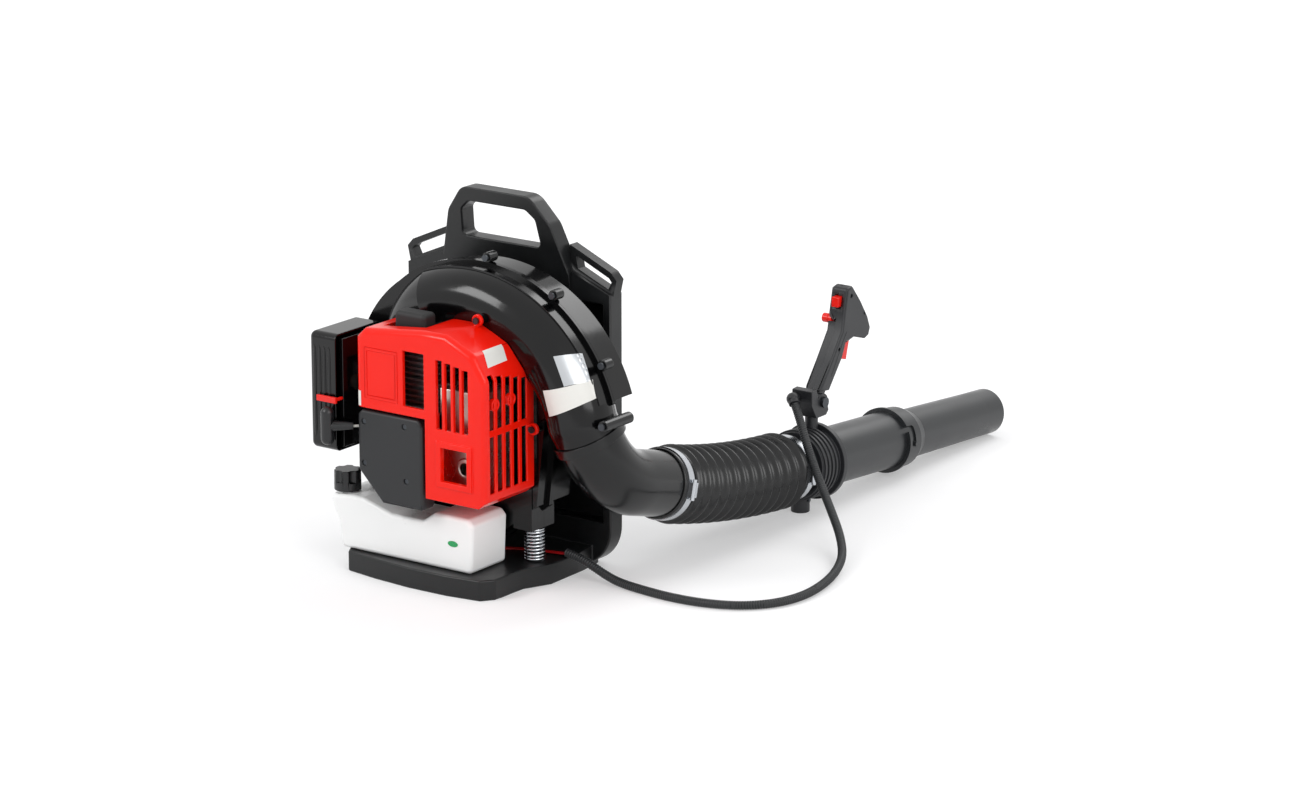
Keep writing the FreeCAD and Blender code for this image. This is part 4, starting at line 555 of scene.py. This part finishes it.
# %% Bellows
BELLOWS_START = np.array([0.222, 0.142, 0.116])
BELLOWS_END = np.array([0.222, 0.409, 0.071])
PIPE_SLOPE = unit(np.array([0.0, 0.944 - 0.409, 0.033 - 0.071]))
FOLDS = 13
FOLD_ROOT = 0.0022


def bellows_line(count):
    """Points on the arc through both ends that leaves the lower end along the tube."""
    normal = np.array([0.0, -PIPE_SLOPE[2], PIPE_SLOPE[1]])
    chord = BELLOWS_START - BELLOWS_END
    radius = chord @ chord / (2 * chord @ normal)
    centre = BELLOWS_END + normal * radius
    ends = [math.atan2(p[2] - centre[2], p[1] - centre[1]) for p in (BELLOWS_START, BELLOWS_END)]
    angle = np.linspace(ends[0], ends[1], count)
    arc = np.stack([np.full(count, 0.222), centre[1] + radius * np.cos(angle),
                    centre[2] + radius * np.sin(angle)], axis=1)
    before = BELLOWS_START - unit(arc[1] - arc[0]) * np.linspace(0.022, 0.001, 12)[:, None]
    after = BELLOWS_END + PIPE_SLOPE * np.linspace(0.001, 0.026, 12)[:, None]
    return np.concatenate([before, arc, after])


def bellows_profile(count):
    """Outer radius: plain cuffs, and between them root + depth * |cos| rounded at the crests."""
    share = np.linspace(0, 1, count)
    wave = 0.5 - 0.5 * np.cos(TURN * FOLDS * share)
    crest = wave ** 1.7
    slope = 0.0473 + (0.0452 - 0.0473) * share
    fold = slope - FOLD_ROOT + (0.053 - slope + FOLD_ROOT) * crest
    ease = np.clip(np.minimum(share, 1 - share) * FOLDS * 2, 0, 1)
    return slope + (fold - slope) * ease


arc_count = FOLDS * 16 + 1
line = bellows_line(arc_count)
outer = np.concatenate([np.full(12, 0.0473), bellows_profile(arc_count), np.full(12, 0.0452)])
outer[:2] -= (0.0012, 0.0003)
outer[-2:] -= (0.0003, 0.0012)
inner = np.concatenate([np.linspace(0.0444, 0.0442, 14), np.full(len(line) - 28, 0.0415),
                        np.linspace(0.0408, 0.0407, 14)])
sides = 72
skin = np.concatenate([tube_grid(line, outer, sides), tube_grid(line, inner, sides)[::-1]])
bellows = surface("bellows_skin", skin, ring=True, smooth_angle=70)
dress(bellows, "bellows_rubber")
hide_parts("bellows")
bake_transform(bellows)
print("bellows faces", len(bellows.data.polygons))

# %% [markdown]
# ## Rounded edges
# Moulded plastic has no knife edges. The frame's meshes are sharp, so each shell that shows is copied,
# its triangles are merged into large faces, and a bevel rounds the sharp edges. A bevel wider than the
# space beside an edge throws points far away, so each edge's width is limited by its shortest
# neighbour, and edges beside a point that still strays are left sharp on a second try.

# %% Rounded copies of moulded shells
BODY_OF = {node: body for body, nodes in frame["record"]["behaviour"]["bodies"].items() for node in nodes}
SHARP = math.radians(32)
FLAT = math.radians(0.8)
SEAM_REACH = 0.0003


def rounded_mesh(source, width, strays, stays_sharp):
    """The bevelled copy of a mesh; edges that stay sharp or lie near a stray point are left."""
    mesh = source.copy()
    shape = bmesh.new()
    shape.from_mesh(mesh)
    bmesh.ops.remove_doubles(shape, verts=shape.verts, dist=2e-6)
    bmesh.ops.dissolve_limit(shape, angle_limit=FLAT, verts=shape.verts, edges=shape.edges)
    weight = shape.edges.layers.float.new("bevel_weight_edge")
    sharp = {edge for edge in shape.edges if edge.calc_face_angle(0.0) > SHARP}
    for edge in sharp:
        beside = [other.calc_length() for corner in edge.verts for other in corner.link_edges
                  if other not in sharp]
        kept = min([1.0] + [0.4 * length / width for length in beside])
        if len(strays):
            reach = min(np.linalg.norm(strays - np.array(corner.co), axis=1).min() for corner in edge.verts)
            kept = kept if reach > 1.6 * width else 0.0
        edge[weight] = 0.0 if stays_sharp and all(stays_sharp(corner.co) for corner in edge.verts) else kept
    shape.to_mesh(mesh)
    shape.free()
    holder = bpy.data.objects.new("holder", mesh)
    bpy.context.scene.collection.objects.link(holder)
    bevel = holder.modifiers.new("round", "BEVEL")
    bevel.width = width
    bevel.segments = 3
    bevel.limit_method = "WEIGHT"
    bevel.use_clamp_overlap = False
    made = baked(holder)
    bpy.data.objects.remove(holder)
    bpy.data.meshes.remove(mesh)
    return made


def baked(holder):
    """A new mesh of an object with its modifiers worked in."""
    bpy.context.view_layer.update()
    return bpy.data.meshes.new_from_object(holder.evaluated_get(bpy.context.evaluated_depsgraph_get()))


def vertex_places(mesh):
    """All vertex places of a mesh as one array."""
    places = np.empty(len(mesh.vertices) * 3)
    mesh.vertices.foreach_get("co", places)
    return places.reshape(-1, 3)


def softened(node, width_mm, stays_sharp=None):
    """Stand a rounded copy of a node in its place, on the same body and with the same finish.

    Each corner's normal is the average of its faces' by area, so large faces look flat.
    """
    width = width_mm / 1000
    source = NODES[node].data
    skin = BVHTree.FromPolygons([tuple(v.co) for v in source.vertices],
                                [tuple(face.vertices) for face in source.polygons])
    strays = np.empty((0, 3))
    for _ in range(3):
        mesh = rounded_mesh(source, width, strays, stays_sharp)
        places = vertex_places(mesh)
        far = np.array([skin.find_nearest(place)[3] > 1.05 * width for place in places])
        if not far.any():
            break
        ends = np.empty(len(mesh.edges) * 2, int)
        mesh.edges.foreach_get("vertices", ends)
        ends = ends.reshape(-1, 2)
        touched = np.unique(ends[far[ends].any(axis=1)])
        strays = np.concatenate([strays, places[touched]])
    low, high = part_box(node)
    mesh.vertices.foreach_set("co", np.clip(places, np.array(low), np.array(high)).ravel())
    mesh.update()
    mesh.shade_smooth()
    mesh.set_sharp_from_angle(angle=math.radians(40))
    made = bpy.data.objects.new(f"{node}_moulded", mesh)
    bpy.context.scene.collection.objects.link(made)
    even = made.modifiers.new("even", "WEIGHTED_NORMAL")
    even.keep_sharp = True
    evened = baked(made)
    made.modifiers.clear()
    made.data = evened
    bpy.data.meshes.remove(mesh)
    dress(made, SLOT_OF[node])
    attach(made, BODY_OF[node])
    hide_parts(node)
    return made


EDGE_ROUNDING_MM = {
    "engine_cover": 1.1, "starter_cover": 1.6, "filter_cover": 1.2, "fuel_tank": 2.0,
    "fuel_cap": 1.3, "muffler": 1.5, "housing_clamps": 0.9, "pipe_clamp": 1.0, "outlet_band": 0.6,
    "throttle_trigger": 0.9, "cruise_lever": 0.6, "stop_switch": 0.9, "plug_boot": 1.5, "choke_lever": 0.6,
    "starter_grip": 1.0, "filter_knob": 1.2, "crankcase": 1.3, "filter_base": 0.8, "conduit_gland": 0.8}
GRIP_ROUNDING_MM = 3.4
FRAME_ROUNDING_MM = 2.4
LOOP_REACH = 0.092
LOOP_FOOT = 0.36
moulded = {node: softened(node, width) for node, width in EDGE_ROUNDING_MM.items()}
grip_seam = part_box("handle_left_shell")[1].x
for node in ("handle_left_shell", "handle_right_shell"):
    moulded[node] = softened(node, GRIP_ROUNDING_MM, lambda place: abs(place.x - grip_seam) < SEAM_REACH)
moulded["backpack_frame"] = softened("backpack_frame", FRAME_ROUNDING_MM,
                                     lambda place: abs(place.x) > LOOP_REACH and place.z > LOOP_FOOT)
print("rounded shells:", len(moulded))

# %% [markdown]
# ## Labels
# Stickers follow the surface under them. Each starts as a small flat grid spanned between four corner
# points, and a shrinkwrap drops it along its normals onto the shell with a hair of clearance. They
# carry nothing: one is bare brushed foil and the others are neutral film.

# %% Labels
LIFT = 0.022


def label(name, corners_mm, facing, node, slot, rows=20, columns=26):
    """Bilinear patch between four corners (in order round the label), laid on a node from outside."""
    a, b, c, d = (np.asarray(corner, float) / 1000 for corner in corners_mm)
    u = np.linspace(0, 1, columns)[None, :, None]
    v = np.linspace(0, 1, rows)[:, None, None]
    grid = (1 - v) * ((1 - u) * a + u * b) + v * ((1 - u) * d + u * c)
    facing = unit(np.asarray(facing, float))
    grid = grid + LIFT * facing
    normal = np.cross(grid[0, 1] - grid[0, 0], grid[1, 0] - grid[0, 0])
    grid = grid if normal @ facing > 0 else grid[:, ::-1]
    piece = surface(name, grid, around=False, caps=False)
    lay_on(piece, node, 0.00035)
    dress(piece, slot)
    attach(piece, BODY_OF[node])
    return piece


def lay_on(piece, node, gap):
    """Drop a thin sheet along its normals onto a node's surface and give it a hair of thickness."""
    drop = piece.modifiers.new("lay", "SHRINKWRAP")
    drop.wrap_method = "PROJECT"
    drop.use_negative_direction = True
    drop.use_positive_direction = False
    drop.target = NODES[node]
    drop.offset = gap
    body = piece.modifiers.new("film", "SOLIDIFY")
    body.thickness = 0.0002
    body.offset = 1.0
    laid = baked(piece)
    flat = piece.data
    piece.modifiers.clear()
    piece.data = laid
    laid.name = piece.name
    bpy.data.meshes.remove(flat)
    laid.shade_smooth()
    laid.set_sharp_from_angle(angle=math.radians(40))


rating_label = label("rating_label", [(182.7, -47, 323.7), (204.1, -15.8, 326.8), (220.9, -25.9, 294.6),
                                      (198.6, -51.6, 286.2)], (0.67, -0.62, 0.42), "housing_front_shell",
                     "label_foil")
notice_label = label("notice_label", [(168.7, -54.4, 275.4), (224.6, -24.5, 293.6), (230, -25, 270),
                                      (176.2, -52, 241.5)], (0.46, -0.87, 0.19), "housing_front_shell",
                     "label_vinyl")
cover_label = label("cover_label", [(109.6, -106.8, 331.9), (109.2, -66.4, 332.4), (123.4, -72.5, 314.7),
                                    (124.4, -113.8, 313.3)], (0.78, 0, 0.62), "engine_cover",
                    "label_vinyl")
edge_label = label("edge_label", [(-74, -132, 258), (-68, -132, 258), (-68, -132, 238),
                                  (-74, -132, 238)], (0, -1, 0), "engine_cover", "label_vinyl", 8, 6)
print("labels laid:", [round(max(piece.dimensions) * 1000) for piece in
                       (rating_label, notice_label, cover_label, edge_label)])

# %% [markdown]
# ## Fill mark
# A plain green oval is printed on the front of the tank.

# %% Fill mark
MARK_CENTRE = np.array([0.0591, -0.108, 0.066])
angle = np.linspace(0, TURN, 40, endpoint=False)[None, :]
share = np.linspace(0.04, 1, 6)[::-1][:, None]
oval = np.stack([MARK_CENTRE[0] + 0.0082 * share * np.cos(angle), np.full((6, 40), MARK_CENTRE[1]),
                 MARK_CENTRE[2] + 0.004 * share * np.sin(angle)], axis=-1)
fill_mark = surface("fill_mark", np.concatenate([oval[:-1], oval[-1:]]), caps=False)
lay_on(fill_mark, "fuel_tank", 0.0003)
dress(fill_mark, "dot_ink")
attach(fill_mark, "chassis")

# %% [markdown]
# ## Back pad
# The pad rests against the wearer's back: foam under a woven cover, sewn through in three channels and
# held by four rivets. It is one closed surface. Its outline is a rounded rectangle, and its thickness
# is full in the middle, falls to the edge as a quarter of a circle and dips along each seam.

# %% Back pad
PAD_CHANNELS = (0.158, 0.226, 0.294)
CHANNEL_WIDTH = 0.0045
CHANNEL_DEPTH = 0.0045
RIVETS = [(x, z) for x in (-0.105, 0.105) for z in (0.120, 0.300)]


def pad_outline(angle, half_x, half_z, power=5.0):
    """Distance to a rounded rectangle at an angle: (|cos/a|^p + |sin/b|^p) ^ (-1/p)."""
    return (np.abs(np.cos(angle) / half_x) ** power + np.abs(np.sin(angle) / half_z) ** power) ** (-1 / power)


def pad_thickness(x, z, share, full):
    """Thickness behind the plate: edge roll, less a dip along each channel and round each rivet."""
    roll = np.sqrt(np.clip(1 - np.clip((share - 0.86) / 0.14, 0, 1) ** 2, 0, 1))
    dips = sum(CHANNEL_DEPTH * np.exp(-((z - channel) / CHANNEL_WIDTH) ** 2) for channel in PAD_CHANNELS)
    pins = sum(0.0035 * np.exp(-(((x - px) ** 2 + (z - pz) ** 2) / 0.0125 ** 2) ** 2) for px, pz in RIVETS)
    puff = 0.0022 * np.abs(np.sin(math.pi * (z - PAD_CHANNELS[0]) / 0.068)) ** 0.6
    return 0.0005 + (full - 0.0005 + puff - dips - pins) * roll


pad_low, pad_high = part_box("back_pad")
pad_middle = ((pad_low.x + pad_high.x) / 2, (pad_low.z + pad_high.z) / 2)
angle = np.linspace(0, TURN, 220, endpoint=False)[None, :]
share = np.concatenate([np.linspace(0.01, 0.84, 60), np.linspace(0.85, 1, 22)])[:, None]
edge = pad_outline(angle, (pad_high.x - pad_low.x) / 2 - 0.001, (pad_high.z - pad_low.z) / 2 - 0.001)
pad_x = pad_middle[0] + share * edge * np.cos(angle)
pad_z = pad_middle[1] + share * edge * np.sin(angle)
full = pad_high.y - pad_low.y
front = pad_low.y + pad_thickness(pad_x, pad_z, share, full)
back = np.full_like(front, pad_low.y + 0.0003)
pad_grid = np.concatenate([np.stack([pad_x, front, pad_z], axis=-1),
                           np.stack([pad_x, back, pad_z], axis=-1)[::-1]])
pad = surface("back_cushion", pad_grid, smooth_angle=70)
dress(pad, "pad_foam")
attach(pad, "chassis")
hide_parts("back_pad")
print("pad", round(pad_high.x - pad_low.x, 3), "wide,", round(full * 1000), "mm thick")

# %% [markdown]
# ## Starter rope
# The recoil rope is three strands laid together. A short taut length shows between the cover's mouth
# and the grip. Its surface is a tube whose radius has three lobes that turn as they go along it.

# %% Starter rope
PULL = unit(np.array([-0.83, -0.56, 0.0]))
ROPE_MOUTH = np.array([-77.0, -119.0, 206.0])
ROPE_RADIUS = 0.0018
ROPE_LAY = 0.011
rope_stops = [ROPE_MOUTH + PULL * run for run in (-10, 4, 18, 32, 44)]
rope_line, rope_length = resampled(smooth_route(rope_stops), 160)
rope_tube = tube_grid(rope_line, 1.0, 24)
spread = rope_tube - rope_line[:, None]
turn = np.linspace(0, TURN, 24, endpoint=False)[None, :]
run = np.linspace(0, rope_length, 160)[:, None]
lobes = 0.84 + 0.16 * np.abs(np.cos(1.5 * (turn + TURN * run / ROPE_LAY)))
rope = surface("rope_strands", rope_line[:, None] + spread * (ROPE_RADIUS * lobes)[..., None],
               smooth_angle=70)
dress(rope, "rope_fibre")
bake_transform(rope)
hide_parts("starter_rope")
print("rope length that shows", round(rope_length, 4))

# %% [markdown]
# ## Primer bulb
# The primer is a clear urethane dome on a collar. A quarter of an ellipse turned round its axis gives
# the dome.

# %% Primer bulb
bulb_low, bulb_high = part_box("primer_bulb")
bulb_centre = ((bulb_low.x + bulb_high.x) / 2, bulb_high.y, (bulb_low.z + bulb_high.z) / 2)
bulb_deep = bulb_high.y - bulb_low.y
collar = (bulb_high.x - bulb_low.x) / 2
sweep = np.linspace(0, math.pi / 2, 16)
dome = np.stack([0.0035 + (bulb_deep - 0.0035) * np.sin(sweep), collar * 0.8 * np.cos(sweep) + 0.0002], axis=1)
bulb_profile = np.concatenate([[(0.0, 0.0004), (0.0, collar - 0.0004), (0.0004, collar), (0.0026, collar),
                                (0.003, collar - 0.0005), (0.0032, collar * 0.84)], dome])
bulb = surface("primer_dome", turned_grid(bulb_centre, (0, -1, 0), bulb_profile), smooth_angle=50)
dress(bulb, "primer_clear")
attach(bulb, "chassis")
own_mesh(bulb)
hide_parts("primer_bulb")

# %% [markdown]
# ## Pleated filter element
# The element is felt folded into pleats round a frame. Its outline is a rectangle whose edge goes in
# and out as a triangle wave, drawn along the depth of the element.

# %% Pleated filter element
felt_low, felt_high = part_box("filter_element")
PLEATS = 54
PLEAT_DEPTH = 0.004
around = np.linspace(0, 1, PLEATS * 4, endpoint=False)
half_y, half_z = (felt_high.y - felt_low.y) / 2, (felt_high.z - felt_low.z) / 2
angle = TURN * around
reach = pad_outline(angle, half_y, half_z, 9.0)
zigzag = PLEAT_DEPTH * np.abs((around * PLEATS) % 1 * 2 - 1)
felt_y = (felt_low.y + felt_high.y) / 2 + (reach - zigzag) * np.cos(angle)
felt_z = (felt_low.z + felt_high.z) / 2 + (reach - zigzag) * np.sin(angle)
depth = np.linspace(felt_low.x, felt_high.x, 6)[:, None]
felt = surface("pleated_element", np.stack([np.broadcast_to(depth, (6, len(angle))),
               np.broadcast_to(felt_y, (6, len(angle))), np.broadcast_to(felt_z, (6, len(angle)))], axis=-1),
               smooth_angle=20)
dress(felt, "filter_felt")
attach(felt, "chassis")
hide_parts("filter_element")
print("pleats:", PLEATS)

# %% [markdown]
# ## Filter cover ribs
# The air filter's cover has upright ribs down its face. Each is a low bar with an oval section that
# fades out at both ends, so it looks moulded in and not stuck on.

# %% Filter cover ribs
def low_bar(name, centre, along, half, width, height, outward, node):
    """Bar on a face: centre + share * half * along, with an oval section that fades at both ends.

    The fade is (1 - share^8) ^ 0.5, so the bar keeps its section for most of its length.
    """
    share = np.linspace(-1, 1, 40)
    fade = np.sqrt(np.clip(1 - share ** 8, 0.0009, 1))[:, None, None]
    turn = np.linspace(0, TURN, 16, endpoint=False)[None, :, None]
    along, outward = unit(np.asarray(along, float)), unit(np.asarray(outward, float))
    across = np.cross(along, outward)
    line = np.asarray(centre, float) + share[:, None] * half * along
    section = width / 2 * np.cos(turn) * across + height * np.sin(turn) * outward
    piece = surface(name, line[:, None] + fade * section, smooth_angle=60)
    dress(piece, SLOT_OF[node])
    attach(piece, BODY_OF[node])
    return piece


cover_low, cover_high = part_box("filter_cover")
COVER_RIBS = 4
rib_step = (cover_high.x - cover_low.x - 0.012) / COVER_RIBS
rib_half = (cover_high.z - cover_low.z) / 2 - 0.016
for index in range(COVER_RIBS):
    rib_x = cover_low.x + 0.010 + rib_step * index
    low_bar(f"filter_cover_rib_{index}", (rib_x, cover_low.y, (cover_low.z + cover_high.z) / 2),
            (0, 0, 1), rib_half, rib_step * 0.62, 0.0014, (0, -1, 0), "filter_cover")
print("filter cover ribs:", COVER_RIBS)

# %% [markdown]
# ## Grip ribs
# Slanting ribs on the sides of the control grip keep a gloved hand from slipping. They are the same
# low bars, set across the grip at even steps between its foot and the trigger.

# %% Grip ribs
GRIP_FOOT = np.array([0.0, 0.520, 0.190])
GRIP_HEAD = np.array([0.0, 0.5465, 0.2305])
RIB_COUNT = 8
RIB_HALF = 0.0105
RIB_SLANT = unit(np.array([0.0, 0.62, 0.78]))


shell_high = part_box("handle_right_shell")[1]
shell_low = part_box("handle_left_shell")[0]
for index, share in enumerate(np.linspace(0, 1, RIB_COUNT)):
    middle = GRIP_FOOT + (GRIP_HEAD - GRIP_FOOT) * share
    for side, node, x, outward in (("right", "handle_right_shell", shell_high.x, 1),
                                   ("left", "handle_left_shell", shell_low.x, -1)):
        low_bar(f"grip_rib_{side}_{index}", (x - outward * 0.0002, middle[1], middle[2]), RIB_SLANT, RIB_HALF,
                0.0024, 0.0008, (outward, 0, 0), node)
print("grip ribs:", 2 * RIB_COUNT)
